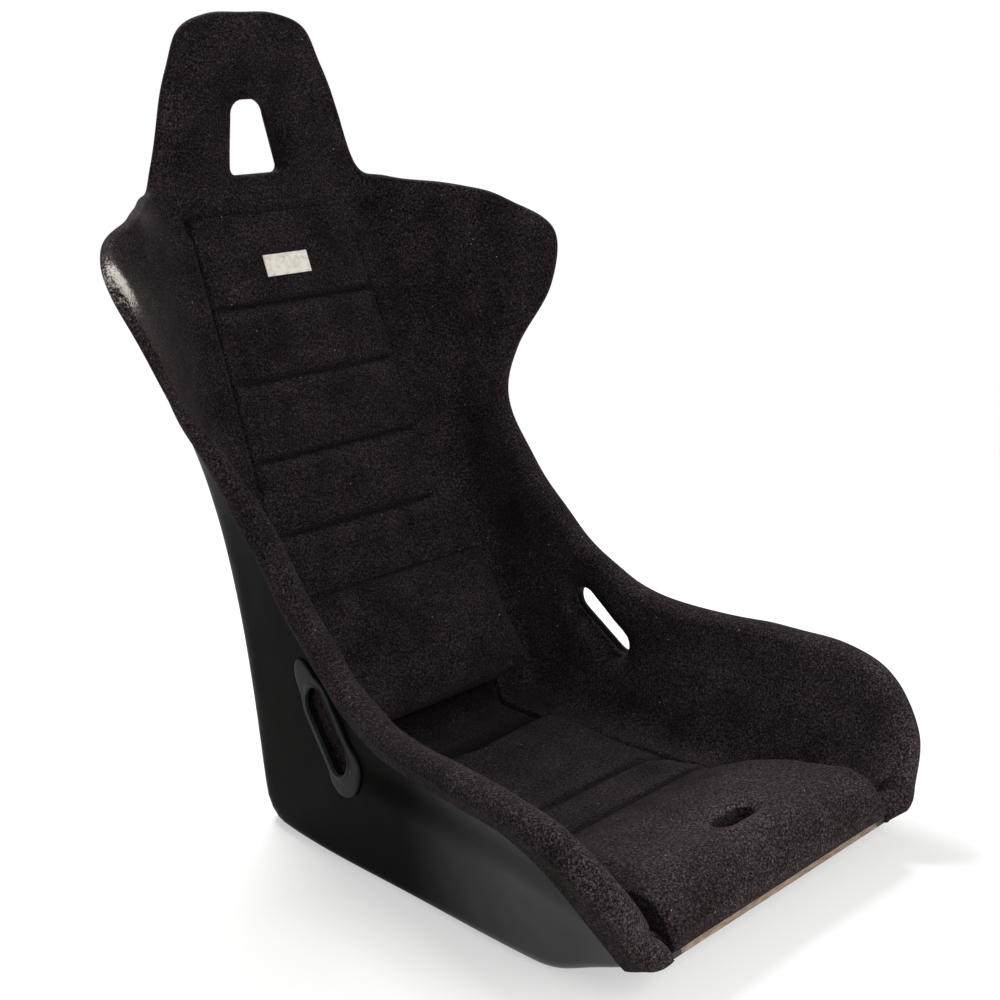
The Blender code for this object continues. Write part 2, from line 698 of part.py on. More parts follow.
def build_trim(sections, cutters):
    """Velour-covered foam: a headrest pad and a side trim on each side, all turned over the rim."""
    neck = NECK_STATION * STEPS_PER_STATION
    end = LAST_TRIM_STATION * STEPS_PER_STATION
    front, back = sections.trim(0, neck, True, HEADREST_LIP_REACH)
    short = 1.0 - PAD_GAP / np.linalg.norm(sections.crest[neck] - sections.crest[neck - 1])
    for grid in (front, back):
        grid[-1] = grid[-2] + (grid[-1] - grid[-2]) * short
    headrest = add_object("headrest_pad", *mirrored(*slab(front, back, ("centre", "start"))), "velour")
    take_out(headrest, cutters["harness"])
    front, back = sections.trim(neck, end, False, LIP_REACH)
    points, faces = slab(front, back, ())
    for name, hand in (("side_trim_left", 1.0), ("side_trim_right", -1.0)):
        side = add_object(name, points * [hand, 1.0, 1.0], faces, "velour")
        take_out(side, cutters["lap_slot"])


def build_back_pad():
    """Flat foam back pad on the leaning back, between the side trims."""
    rows = []
    for height in (pad_top() - PAD_GAP, PAD_LOW_HEIGHT + PAD_GAP):
        origin, across, _, forward = back_frame(height)
        edge = across * (pad_half(up_back(height)) - PAD_GAP / 2.0)
        rows.append([[origin + FIT_GAP * forward, origin + edge + FIT_GAP * forward],
                     [origin + BACK_PAD_THICKNESS * forward, origin + edge + BACK_PAD_THICKNESS * forward]])
    grid = np.array(rows)
    add_object("back_pad", *mirrored(*slab(grid[:, 1], grid[:, 0], ("centre",))), "velour")


def build_hip_lining(sections):
    """Foam strip that lines the corner between the back and the pan."""
    inside = (sections.run > up_back(PAD_LOW_HEIGHT)) & (sections.run < on_pan(CUSHION_REAR) - PAD_GAP)
    runs = [up_back(PAD_LOW_HEIGHT), *sections.run[inside], on_pan(CUSHION_REAR) - PAD_GAP]
    front, back = [], []
    for run in runs:
        (y, z), direction = spine(run)
        inward = np.array([0.0, direction[1], -direction[0]])
        steps = np.array([[0.0], [pad_half(run) - PAD_GAP / 2.0]]) * ACROSS
        back.append([0.0, y, z] + steps + 2.0 * FIT_GAP * inward)
        front.append([0.0, y, z] + steps + HIP_LINING_THICKNESS * inward)
    add_object("hip_lining", *mirrored(*slab(np.array(front), np.array(back), ("centre",))), "velour")


def build_lumbar_pad():
    """Loose wedge cushion held on the back pad by two hook strips."""
    seat = BACK_PAD_THICKNESS + STRIP_THICKNESS + 2.0 * FIT_GAP
    rows = []
    ends = ((LUMBAR_TOP_HEIGHT, LUMBAR_TOP_THICKNESS), (LUMBAR_LOW_HEIGHT, LUMBAR_LOW_THICKNESS))
    for height, thickness in ends:
        origin, across, _, forward = back_frame(height)
        inner = origin + seat * forward
        rows.append([[inner, inner + LUMBAR_HALF * across],
                     [inner + thickness * forward, inner + LUMBAR_HALF * across + thickness * forward]])
    grid = np.array(rows)
    half_solid = slab(grid[:, 1], grid[:, 0], ("centre",))
    lumbar = add_object("lumbar_pad", *mirrored(*half_solid), "velour", origin=grid[-1, 0, 0])
    inset = LUMBAR_STRIP_INSET + STRIP_WIDTH / 2.0
    for name, height in (("lumbar_hook_strip_upper", LUMBAR_TOP_HEIGHT - inset),
                         ("lumbar_hook_strip_lower", LUMBAR_LOW_HEIGHT + inset)):
        origin, across, up, forward = back_frame(height)
        points, faces = block((LUMBAR_STRIP_LENGTH, STRIP_WIDTH, STRIP_THICKNESS))
        seat = origin + (BACK_PAD_THICKNESS + FIT_GAP) * forward
        add_object(name, placed(points, seat, across, up, forward), faces, "tape", carrier=lumbar)


def build_label():
    """Bare woven label on the back pad."""
    origin, across, up, forward = back_frame(pad_top() - LABEL_DROP)
    points, faces = block((LABEL_WIDTH, LABEL_LENGTH, LABEL_THICKNESS))
    seat = origin + (BACK_PAD_THICKNESS + FIT_GAP) * forward
    add_object("label", placed(points, seat, across, up, forward), faces, "woven")


def build_cushion(cutters):
    """Loose seat cushion with a raised front, and the strips that hold it to the pan."""
    floor = cushion_floor()
    rise = ramp_rise()[1] / ramp_rise()[0]
    profile = (
        (CUSHION_REAR, CUSHION_REAR_TOP - CUSHION_EDGE),
        (CUSHION_REAR - CUSHION_EDGE / 2.0, CUSHION_REAR_TOP),
        (0.5 * (CUSHION_REAR + BASE_FRONT), CUSHION_MID_TOP),
        (BASE_FRONT + CUSHION_RAMP_FOOT, 0.77 * CUSHION_MID_TOP + 0.23 * CUSHION_RAMP_TOP),
        (CROTCH_SLOT_Y + CROTCH_SLOT_WIDTH, CUSHION_RAMP_TOP - 0.2 * CUSHION_NOSE_DROP),
        (CUSHION_FRONT + CUSHION_NOSE, CUSHION_RAMP_TOP),
        (CUSHION_FRONT + 0.5 * CUSHION_NOSE, CUSHION_RAMP_TOP - 0.2 * CUSHION_NOSE_DROP),
        (CUSHION_FRONT + 0.1 * CUSHION_NOSE, CUSHION_RAMP_TOP - 0.8 * CUSHION_NOSE_DROP),
        (CUSHION_FRONT, CUSHION_RAMP_TOP - CUSHION_NOSE_DROP),
    )
    front, back = [], []
    for y, top in profile:
        half = cushion_half(y) - PAD_GAP / 2.0
        low = floor + max((y - BASE_FRONT) * rise, 0.0)
        front.append([[0.0, y, top], [half - CUSHION_EDGE, y, top], [half, y, top - CUSHION_EDGE / 2.0]])
        back.append([[0.0, y, low], [half - CUSHION_EDGE, y, low], [half, y, low]])
    half_solid = slab(np.array(front), np.array(back), ("centre",))
    origin = (0.0, MOUNT_CENTRE_Y, floor)
    cushion = add_object("seat_cushion", *mirrored(*half_solid), "velour", origin=origin)
    take_out(cushion, cutters["crotch_slot"])
    hook = block((STRIP_WIDTH, CUSHION_STRIP_LENGTH, STRIP_THICKNESS))
    loop = block((STRIP_WIDTH, CUSHION_STRIP_LENGTH, floor - SHELL_WALL - STRIP_THICKNESS - 3.0 * FIT_GAP))
    for side, hand in (("left", 1.0), ("right", -1.0)):
        place = np.array([hand * CUSHION_STRIP_SPREAD / 2.0, MOUNT_CENTRE_Y, SHELL_WALL + FIT_GAP])
        add_object(f"cushion_hook_strip_{side}", hook[0] + place, hook[1], "tape")
        place = place + [0.0, 0.0, STRIP_THICKNESS + FIT_GAP]
        add_object(f"cushion_loop_strip_{side}", loop[0] + place, loop[1], "tape", carrier=cushion)


def cushion_half(y):
    """Half-width of the cushion at a place along the seat."""
    share = (CUSHION_REAR - y) / (CUSHION_REAR - CUSHION_FRONT)
    return cushion_rear_half() + share * (CUSHION_FRONT_HALF - cushion_rear_half())


def build_mounts():
    """Two steel plates inside the pan and four threaded inserts through it."""
    length = MOUNT_SPAN_Y + 2.0 * PLATE_OVERHANG
    hole_radius = INSERT_BARREL_RADIUS + FIT_GAP
    plate_top = SHELL_WALL + FIT_GAP + PLATE_THICKNESS
    for side, hand in (("left", 1.0), ("right", -1.0)):
        x = hand * MOUNT_SPAN_X / 2.0
        points, faces = block((PLATE_WIDTH, length, PLATE_THICKNESS))
        place = [x, MOUNT_CENTRE_Y, SHELL_WALL + FIT_GAP]
        plate = add_object(f"mount_plate_{side}", points + place, faces, "steel")
        for end, way in (("front", -1.0), ("rear", 1.0)):
            y = MOUNT_CENTRE_Y + way * MOUNT_SPAN_Y / 2.0
            points, faces = prism(circle(hole_radius), PLATE_THICKNESS * 3.0)
            place = [x, y, SHELL_WALL - PLATE_THICKNESS]
            take_out(plate, add_cutter(f"plate_bore_{end}_{side}", points + place, faces))
            add_insert(f"mount_insert_{end}_{side}", x, y, plate_top + FIT_GAP)


def add_insert(name, x, y, seat):
    """Threaded insert: a barrel flush with the base under a round flange on the plate."""
    profile = ((INSERT_BORE_RADIUS, FIT_GAP), (INSERT_BARREL_RADIUS, FIT_GAP), (INSERT_BARREL_RADIUS, seat),
               (INSERT_FLANGE_RADIUS, seat), (INSERT_FLANGE_RADIUS, seat + INSERT_FLANGE_THICKNESS),
               (INSERT_BORE_RADIUS, seat + INSERT_FLANGE_THICKNESS))
    spokes = np.array(circle(1.0))
    points = np.concatenate([np.column_stack([spokes * r, np.full(ROUND_FACETS, z)]) for r, z in profile])
    faces = []
    for ring in range(len(profile)):
        here, after = ring * ROUND_FACETS, (ring + 1) % len(profile) * ROUND_FACETS
        for i in range(ROUND_FACETS):
            j = (i + 1) % ROUND_FACETS
            faces.append([here + i, here + j, after + j, after + i])
    add_object(name, points + [x, y, 0.0], faces, "steel")


def build_bezels(sections):
    """Plastic bezels of the lap-belt slots, bent to the outside of the shell, and two flat ones."""
    wall = sections.surface(SHELL_WALL)
    points, faces = slab(wall, sections.surface(0.0), ("centre", "start"))
    outside = BVHTree.FromPolygons([Vector(p) for p in points], faces)
    outer = np.array(stadium(LAP_SLOT_LENGTH + 2.0 * BEZEL_BORDER, LAP_SLOT_WIDTH + 2.0 * BEZEL_BORDER))
    inner = np.array(stadium(LAP_SLOT_LENGTH, LAP_SLOT_WIDTH))
    middle = 0.5 * (outer + inner)
    place, along, over = lap_slot_frame()
    inwards = Vector((-1.0, 0.0, 0.0))
    loops = []
    for outline in (outer, middle, inner):
        flat = outline @ np.array([along, over]) + place
        starts = [Vector((CUTTER_REACH, y, z)) for y, z in flat]
        loops.append(np.array([tuple(outside.ray_cast(start, inwards)[0]) for start in starts]))
    back = np.array(loops) + ACROSS * BEZEL_SEAT
    front = back + ACROSS * BEZEL_THICKNESS
    back, front = (np.concatenate([grid, grid[:, :1]], axis=1) for grid in (back, front))
    points, faces = slab(front, back, ("centre", "rim"))
    add_object("lap_slot_bezel_left", points, faces, "plastic")
    add_object("lap_slot_bezel_right", points * [-1.0, 1.0, 1.0], faces, "plastic")
    points, faces = ring_prism(harness_outline(EDGING_BORDER), harness_outline(0.0), EDGING_THICKNESS)
    seat = [0.0, headrest_back() + SHELL_WALL + FIT_GAP, 0.0]
    points = placed(points, seat, ACROSS, [0, 0, 1], [0, 1, 0])
    add_object("harness_opening_edging", points, faces, "plastic")
    length = CROTCH_SLOT_LENGTH + 2.0 * CROTCH_BEZEL_CLEARANCE
    width = CROTCH_SLOT_WIDTH + 2.0 * CROTCH_BEZEL_CLEARANCE
    border = 2.0 * CROTCH_BEZEL_BORDER
    points, faces = ring_prism(stadium(length + border, width + border), stadium(length, width),
                               CROTCH_BEZEL_THICKNESS)
    origin, across, along, down = ramp_frame(CROTCH_SLOT_Y)
    seat = origin + (SHELL_WALL + FIT_GAP) * down
    add_object("crotch_slot_bezel", placed(points, seat, across, along, down), faces, "plastic")


def build_cutters():
    """Hidden solids for the belt openings and the bores of the base inserts."""
    points, faces = prism(harness_outline(0.0), CUTTER_REACH)
    points = placed(points, [0, 0, 0], ACROSS, [0, 0, 1], [0, 1, 0])
    cutters = {"harness": add_cutter("harness_cutter", points, faces)}
    place, along, over = lap_slot_frame()
    points, faces = prism(stadium(LAP_SLOT_LENGTH, LAP_SLOT_WIDTH), CUTTER_REACH)
    points = placed(points, [-CUTTER_REACH / 2.0, *place], [0.0, *along], [0.0, *over], ACROSS)
    cutters["lap_slot"] = add_cutter("lap_slot_cutter", points, faces)
    points, faces = prism(stadium(CROTCH_SLOT_LENGTH, CROTCH_SLOT_WIDTH), CUTTER_REACH)
    start = np.array([0.0, CROTCH_SLOT_Y, -CUTTER_REACH / 2.0])
    cutters["crotch_slot"] = add_cutter("crotch_slot_cutter", points + start, faces)
    cutters["mount_bores"] = []
    points, faces = prism(circle(INSERT_BARREL_RADIUS + FIT_GAP), 4.0 * SHELL_WALL)
    for x in (-MOUNT_SPAN_X / 2.0, MOUNT_SPAN_X / 2.0):
        for y in (MOUNT_CENTRE_Y - MOUNT_SPAN_Y / 2.0, MOUNT_CENTRE_Y + MOUNT_SPAN_Y / 2.0):
            name = f"mount_bore_{len(cutters['mount_bores'])}"
            cutters["mount_bores"].append(add_cutter(name, points + [x, y, -2.0 * SHELL_WALL], faces))
    return cutters


def main():
    """Clear the scene and build every piece of the seat."""
    for thing in list(bpy.data.objects):
        bpy.data.objects.remove(thing, do_unlink=True)
    sections = Sections()
    cutters = build_cutters()
    build_shell(sections, cutters)
    build_trim(sections, cutters)
    build_back_pad()
    build_hip_lining(sections)
    build_lumbar_pad()
    build_label()
    build_cushion(cutters)
    build_mounts()
    build_bezels(sections)


main()
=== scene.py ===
"""Looks of a fixed-back racing seat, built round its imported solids.

The seat faces -Y, +X is the sitter's left and Z is up from the flat base that it stands on.
Lengths are in metres.  The soft covers and the moulded shell follow one family of cross-sections:
each section runs from the centre line of the shell, along a flat floor, round a bend and up a
wall to the rim, and the covers go on over the rim to a lip on the outside.
"""

import logging
import math
from dataclasses import dataclass, field
from enum import Enum

import bmesh
import bpy
import numpy as np
from bpy.types import ID, Material, Mesh, Node, NodeTree
from bpy.types import Object as Piece
from mathutils import Matrix
from numpy import ndarray as Array


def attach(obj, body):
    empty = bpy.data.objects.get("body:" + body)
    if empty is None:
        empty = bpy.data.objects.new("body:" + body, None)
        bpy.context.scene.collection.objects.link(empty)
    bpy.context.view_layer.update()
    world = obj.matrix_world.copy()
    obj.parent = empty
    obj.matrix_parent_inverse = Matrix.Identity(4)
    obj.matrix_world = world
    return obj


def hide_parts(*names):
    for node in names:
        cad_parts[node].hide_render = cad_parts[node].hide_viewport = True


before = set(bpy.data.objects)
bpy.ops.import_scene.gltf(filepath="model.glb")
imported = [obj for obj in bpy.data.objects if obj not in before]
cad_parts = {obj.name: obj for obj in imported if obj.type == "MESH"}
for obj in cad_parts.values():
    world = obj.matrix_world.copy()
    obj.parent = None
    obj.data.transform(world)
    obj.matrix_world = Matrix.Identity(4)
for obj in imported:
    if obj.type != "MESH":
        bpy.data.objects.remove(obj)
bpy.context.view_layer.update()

LOG = logging.getLogger("racing_seat")
ACROSS, REARWARD, UP = np.eye(3)
MIRROR = np.array([-1.0, 1.0, 1.0])
# Name of the velour's point mark: rubbed and pulled pile, painted highlight and painted shade.
HANDS = (("left", 1.0), ("right", -1.0))
WEAR_AND_PAINTED_LIGHT = "wear"
SEED = 11
WAVES = 12
SHARP = 50.0
CLEARANCE = 0.0005
END_TRIM = 0.001
BED = 0.0006
PAD_RIPPLE = (0.0005, 0.04, 0.10)
COVER_RIPPLE = (0.0006, 0.05, 0.11)
Solid = tuple[Array, Array | list]


class Body(Enum):
    """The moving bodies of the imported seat."""

    SEAT = "seat"
    CUSHION = "cushion"
    LUMBAR = "lumbar"


class Slot(Enum):
    """The record's material slots, one named for each piece."""

    LAMINATE = "laminate"
    VELOUR = "velour"
    PLASTIC = "plastic"
    WOVEN = "woven"


def linear(code: str) -> tuple[float, float, float, float]:
    """Turn an sRGB hex colour into linear light.

    Args:
        code: six hex digits after a hash.

    Returns:
        Red, green, blue and an alpha of one.
    """
    parts = np.array([int(code[i:i + 2], 16) for i in (1, 3, 5)]) / 255.0
    light = np.where(parts <= 0.04045, parts / 12.92, ((parts + 0.055) / 1.055) ** 2.4)
    return (*light.tolist(), 1.0)


def unit(vectors: Array) -> Array:
    """Vectors scaled to length one."""
    return vectors / np.maximum(np.linalg.norm(vectors, axis=-1, keepdims=True), 1e-12)


def smooth_step(low: float, high: float, value: Array) -> Array:
    """Rise from 0 at low to 1 at high on a cubic with level ends."""
    t = np.clip((value - low) / (high - low), 0.0, 1.0)
    return t * t * (3.0 - 2.0 * t)


def bell(distance: Array, width: Array | float) -> Array:
    """Bell curve: one at no distance, and falling to 0.37 at the width."""
    return np.exp(-((distance / width) ** 2))


def round_over(distance: Array, radius: float) -> Array:
    """Depth of a rounded edge: a quarter circle of that radius, full depth at and past the edge.

    Args:
        distance: distance of each point from the edge, negative past it.
        radius: radius of the quarter circle.

    Returns:
        How far each point drops below the flat surface.
    """
    left = np.clip(radius - distance, 0.0, radius)
    return radius - np.sqrt(radius**2 - left**2)


def soft_over(distance: Array, radius: float) -> Array:
    """Depth of a soft edge: a parabola that starts a radius away and is half as deep as that."""
    return 0.5 * radius * np.clip(1.0 - distance / radius, 0.0, 1.3) ** 2


def ripples(points: Array, height: float, short: float, long: float) -> Array:
    """Gentle unevenness of cloth over foam: a sum of sine waves in random directions.

    Args:
        points: points of the surface, with three coordinates in the last axis.
        height: rough height of the ripples.
        short: shortest wave length.
        long: longest wave length.

    Returns:
        A height for each point.
    """
    draw = np.random.default_rng(SEED)
    turn = 2.0 * math.pi
    ways = unit(draw.normal(size=(WAVES, 3))) * (turn / draw.uniform(short, long, (WAVES, 1)))
    phases = draw.uniform(0.0, turn, WAVES)
    return height * np.sin(points @ ways.T + phases).sum(-1) / math.sqrt(WAVES)


def outline_distance(points: Array, outline: Array) -> Array:
    """Signed distance of flat points from a closed outline, negative inside it.

    Each point takes the least distance to any side of the outline, and its sign from the number
    of sides that a level ray from it crosses.

    Args:
        points: flat points, with two coordinates in the last axis.
        outline: corners of the outline in order.

    Returns:
        The distance of each point.
    """
    flat = points.reshape(-1, 1, 2)
    start, end = outline[None], np.roll(outline, -1, axis=0)[None]
    side = end - start
    share = np.clip(((flat - start) * side).sum(-1) / (side**2).sum(-1), 0.0, 1.0)
    least = np.linalg.norm(flat - start - share[..., None] * side, axis=-1).min(1)
    spans = (start[..., 1] > flat[..., 1]) != (end[..., 1] > flat[..., 1])
    rise = np.where(side[..., 1] == 0.0, 1.0, side[..., 1])
    meets = start[..., 0] + (flat[..., 1] - start[..., 1]) * side[..., 0] / rise
    inside = (spans & (flat[..., 0] < meets)).sum(1) % 2 == 1
    return np.where(inside, -least, least).reshape(points.shape[:-1])


def stadium(length: float, width: float, facets: int = 24) -> Array:
    """Outline of a slot with round ends along its first axis.

    Args:
        length: length over both ends.
        width: width of the slot.
        facets: points round each end.

    Returns:
        Points of the outline in order.
    """
    half = (length - width) / 2.0
    angles = np.linspace(-math.pi / 2.0, math.pi / 2.0, facets)
    right = np.column_stack([half + width / 2.0 * np.cos(angles), width / 2.0 * np.sin(angles)])
    return np.concatenate([right, -right])


# Meshes


def grid_quads(cells: Array) -> Array:
    """Four-cornered faces between the neighbours of a grid of vertex numbers."""
    corners = [cells[:-1, :-1], cells[1:, :-1], cells[1:, 1:], cells[:-1, 1:]]
    return np.stack(corners, axis=-1).reshape(-1, 4)


def closed_between(front: Array, back: Array) -> Solid:
    """Body between two grids of points, closed by a strip along each of the four sides.

    Args:
        front: grid of points, rows by columns by three.
        back: grid of the same shape.

    Returns:
        Points and four-cornered faces.
    """
    near = np.arange(front[..., 0].size).reshape(front.shape[:2])
    far = near + near.size
    sides = [(grid[0], grid[-1], grid[:, 0], grid[:, -1]) for grid in (near, far)]
    strips = [np.stack(pair) for pair in zip(*sides)]
    faces = np.concatenate([grid_quads(cells) for cells in (near, far, *strips)])
    return np.concatenate([front.reshape(-1, 3), back.reshape(-1, 3)]), faces


def ring_body(loops: Array) -> Solid:
    """Closed ring: a profile carried round a closed path, as loops of points round the path.

    Args:
        loops: points of each loop, profile by path by three.

    Returns:
        Points and four-cornered faces.
    """
    cells = np.arange(loops[..., 0].size).reshape(loops.shape[:2])
    return loops.reshape(-1, 3), grid_quads(np.pad(cells, ((0, 1), (0, 1)), mode="wrap"))


def prism_between(outline: Array, origin: Array, u: Array, v: Array, w: Array) -> Solid:
    """Prism from an outline in u and v, carried along w.

    Args:
        outline: flat points in order.
        origin: place of the outline's own origin.
        u: direction of the outline's first axis.
        v: direction of its second axis.
        w: step that the outline is carried along.

    Returns:
        Points and faces.
    """
    base = origin + outline @ np.array([u, v])
    count = len(outline)
    turn = np.arange(count)
    after = (turn + 1) % count
    sides = np.column_stack([turn, after, after + count, turn + count])
    faces = [turn.tolist(), (turn + count).tolist(), *sides.tolist()]
    return np.concatenate([base, base + w]), faces


def mirrored(points: Array, faces: Array) -> Solid:
    """A half body with its mirror image across the plane of symmetry."""
    return np.concatenate([points, points * MIRROR]), np.concatenate([faces, faces + len(points)])


def link(name: str, data: ID) -> Piece:
    """Object of some data, linked into the scene.

    Args:
        name: name of the object.
        data: mesh, camera or lamp that it holds.

    Returns:
        The object.
    """
    made = bpy.data.objects.new(name, data)
    bpy.context.scene.collection.objects.link(made)
    return made


def shade(mesh: Mesh, sharp: float = SHARP) -> None:
    """Shade a mesh smooth, apart from its edges of more than an angle in degrees."""
    mesh.shade_smooth()
    mesh.set_sharp_from_angle(angle=math.radians(sharp))


def add_piece(name: str, solid: Solid, material: Material, sharp: float = SHARP,
              drop_centre: bool = False) -> Piece:
    """Object at the origin, with merged doubles and its faces turned outwards.

    Args:
        name: name of the piece and of its mesh.
        solid: points, one row each, and faces, as rows of vertex numbers.
        material: its finish.
        sharp: angle in degrees above which an edge stays sharp.
        drop_centre: leave out the faces that lie in the plane of symmetry.

    Returns:
        The object.
    """
    points, faces = solid
    mesh = bpy.data.meshes.new(name)
    mesh.from_pydata(points.tolist(), [], faces.tolist() if isinstance(faces, Array) else faces)
    shape = bmesh.new()
    shape.from_mesh(mesh)
    if drop_centre:
        flat = [f for f in shape.faces if all(abs(v.co.x) < 1e-7 for v in f.verts)]
        bmesh.ops.delete(shape, geom=flat, context="FACES")
    bmesh.ops.remove_doubles(shape, verts=shape.verts, dist=2e-6)
    bmesh.ops.dissolve_degenerate(shape, edges=shape.edges, dist=1e-7)
    bmesh.ops.recalc_face_normals(shape, faces=shape.faces)
    shape.to_mesh(mesh)
    shape.free()
    shade(mesh, sharp)
    mesh.materials.append(material)
    return link(name, mesh)


def vectors_of(rows: bpy.types.bpy_prop_collection, name: str = "co") -> Array:
    """Vectors of a mesh's vertices or faces as one array.

    Args:
        rows: vertices or faces of a mesh.
        name: property to read.

    Returns:
        A row for each vertex or face.
    """
    flat = np.empty(len(rows) * 3, np.float32)
    rows.foreach_get(name, flat)
    return flat.reshape(-1, 3).astype(float)


def set_coordinates(mesh: Mesh, points: Array) -> None:
    """Put an array of points back into a mesh."""
    mesh.vertices.foreach_set("co", points.astype(np.float32).ravel())
    mesh.update()


def settled(piece: Piece, kind: str, **settings: object) -> None:
    """Give a piece the mesh that a modifier makes of it.

    Args:
        piece: piece to change.
        kind: Blender's name of the modifier's type.
        settings: the modifier's settings by name.
    """
    change = piece.modifiers.new(kind.lower(), kind)
    for name, value in settings.items():
        setattr(change, name, value)
    mesh = bpy.data.meshes.new_from_object(piece.evaluated_get(bpy.context.evaluated_depsgraph_get()))
    piece.modifiers.clear()
    piece.data = mesh


def carve(piece: Piece, solid: Solid, wall: Material) -> None:
    """Cut a prism out of a piece, and give the walls of the cut their own finish.

    Args:
        piece: piece to cut.
        solid: points and faces of the prism.
        wall: finish of the new walls.
    """
    cutter = add_piece("cutter", solid, wall)
    settled(piece, "BOOLEAN", object=cutter, solver="EXACT", material_mode="TRANSFER")
    bpy.data.objects.remove(cutter)
    shade(piece.data)


# Finishes


def add_node(tree: NodeTree, kind: str | Node, settings: dict, links: dict) -> Node:
    """Add a node, or take one that is there, with its settings and links.

    Args:
        tree: node tree to add to.
        kind: Blender's name of the node's type, after the word that all shader nodes share.
        settings: values by name; "stops" are the places and hex colours of a ramp, and another name
            that isn't a property of the node is one of its sockets.
        links: sockets to join, by the name or number of the input that each goes into.

    Returns:
        The node.
    """
    node = tree.nodes.new(f"ShaderNode{kind}") if isinstance(kind, str) else kind
    for name, value in settings.items():
        if name == "stops":
            while len(node.color_ramp.elements) < len(value):
                node.color_ramp.elements.new(0.5)
            for element, (place, code) in zip(node.color_ramp.elements, value):
                element.position = place
                element.color = linear(code)
        elif isinstance(name, str) and hasattr(node, name):
            setattr(node, name, value)
        else:
            node.inputs[name].default_value = value
    for name, source in links.items():
        tree.links.new(source, node.inputs[name])
    return node


def wire(tree: NodeTree, rows: list, known: dict[str, Node]) -> None:
    """Add a node for each row of a pattern.

    Args:
        tree: node tree to add to.
        rows: a name, a kind of node, its settings, and its links as "name.output" of an earlier row.
        known: nodes that are there already; a row of that name gives one more settings and links.
    """
    made = dict(known)
    for name, kind, settings, links in rows:
        sources = {}
        for socket, source in links.items():
            node, output = source.split(".")
            sources[socket] = made[node].outputs[int(output) if output.isdigit() else output]
        made[name] = add_node(tree, made.get(name, kind), settings, sources)


PLACE = {"Vector": "place.Object"}
JOINED = ("shader", "", {}, {"Base Color": "colour.Color", "Normal": "bump.Normal"})


@dataclass(frozen=True)
class Finish:
    """A surface finish: the shader's plain values, and a pattern that each kind adds."""

    name: str
    colour: str
    roughness: float
    metallic: float = 0.0
    sheen: float = 0.0
    sheen_roughness: float = 0.5
    sheen_tint: str = "#ffffff"
    specular: float = 0.5

    def material(self) -> Material:
        """The material of this finish, made once.

        Returns:
            The material.
        """
        made = bpy.data.materials.get(self.name)
        if made is None:
            made = bpy.data.materials.new(self.name)
            made.use_nodes = True
            plain = {
                "Base Color": linear(self.colour), "Roughness": self.roughness, "IOR": 1.5,
                "Metallic": self.metallic, "Sheen Weight": self.sheen, "Sheen Tint": linear(self.sheen_tint),
                "Sheen Roughness": self.sheen_roughness, "Specular IOR Level": self.specular,
            }
            rows = [("shader", "", plain, {}), ("place", "TexCoord", {}, {}), *self.pattern()]
            wire(made.node_tree, rows, {"shader": made.node_tree.nodes["Principled BSDF"]})
        return made

    def pattern(self) -> list:
        """Rows of the finish's pattern, as wire takes them; each kind has its own."""
        return []


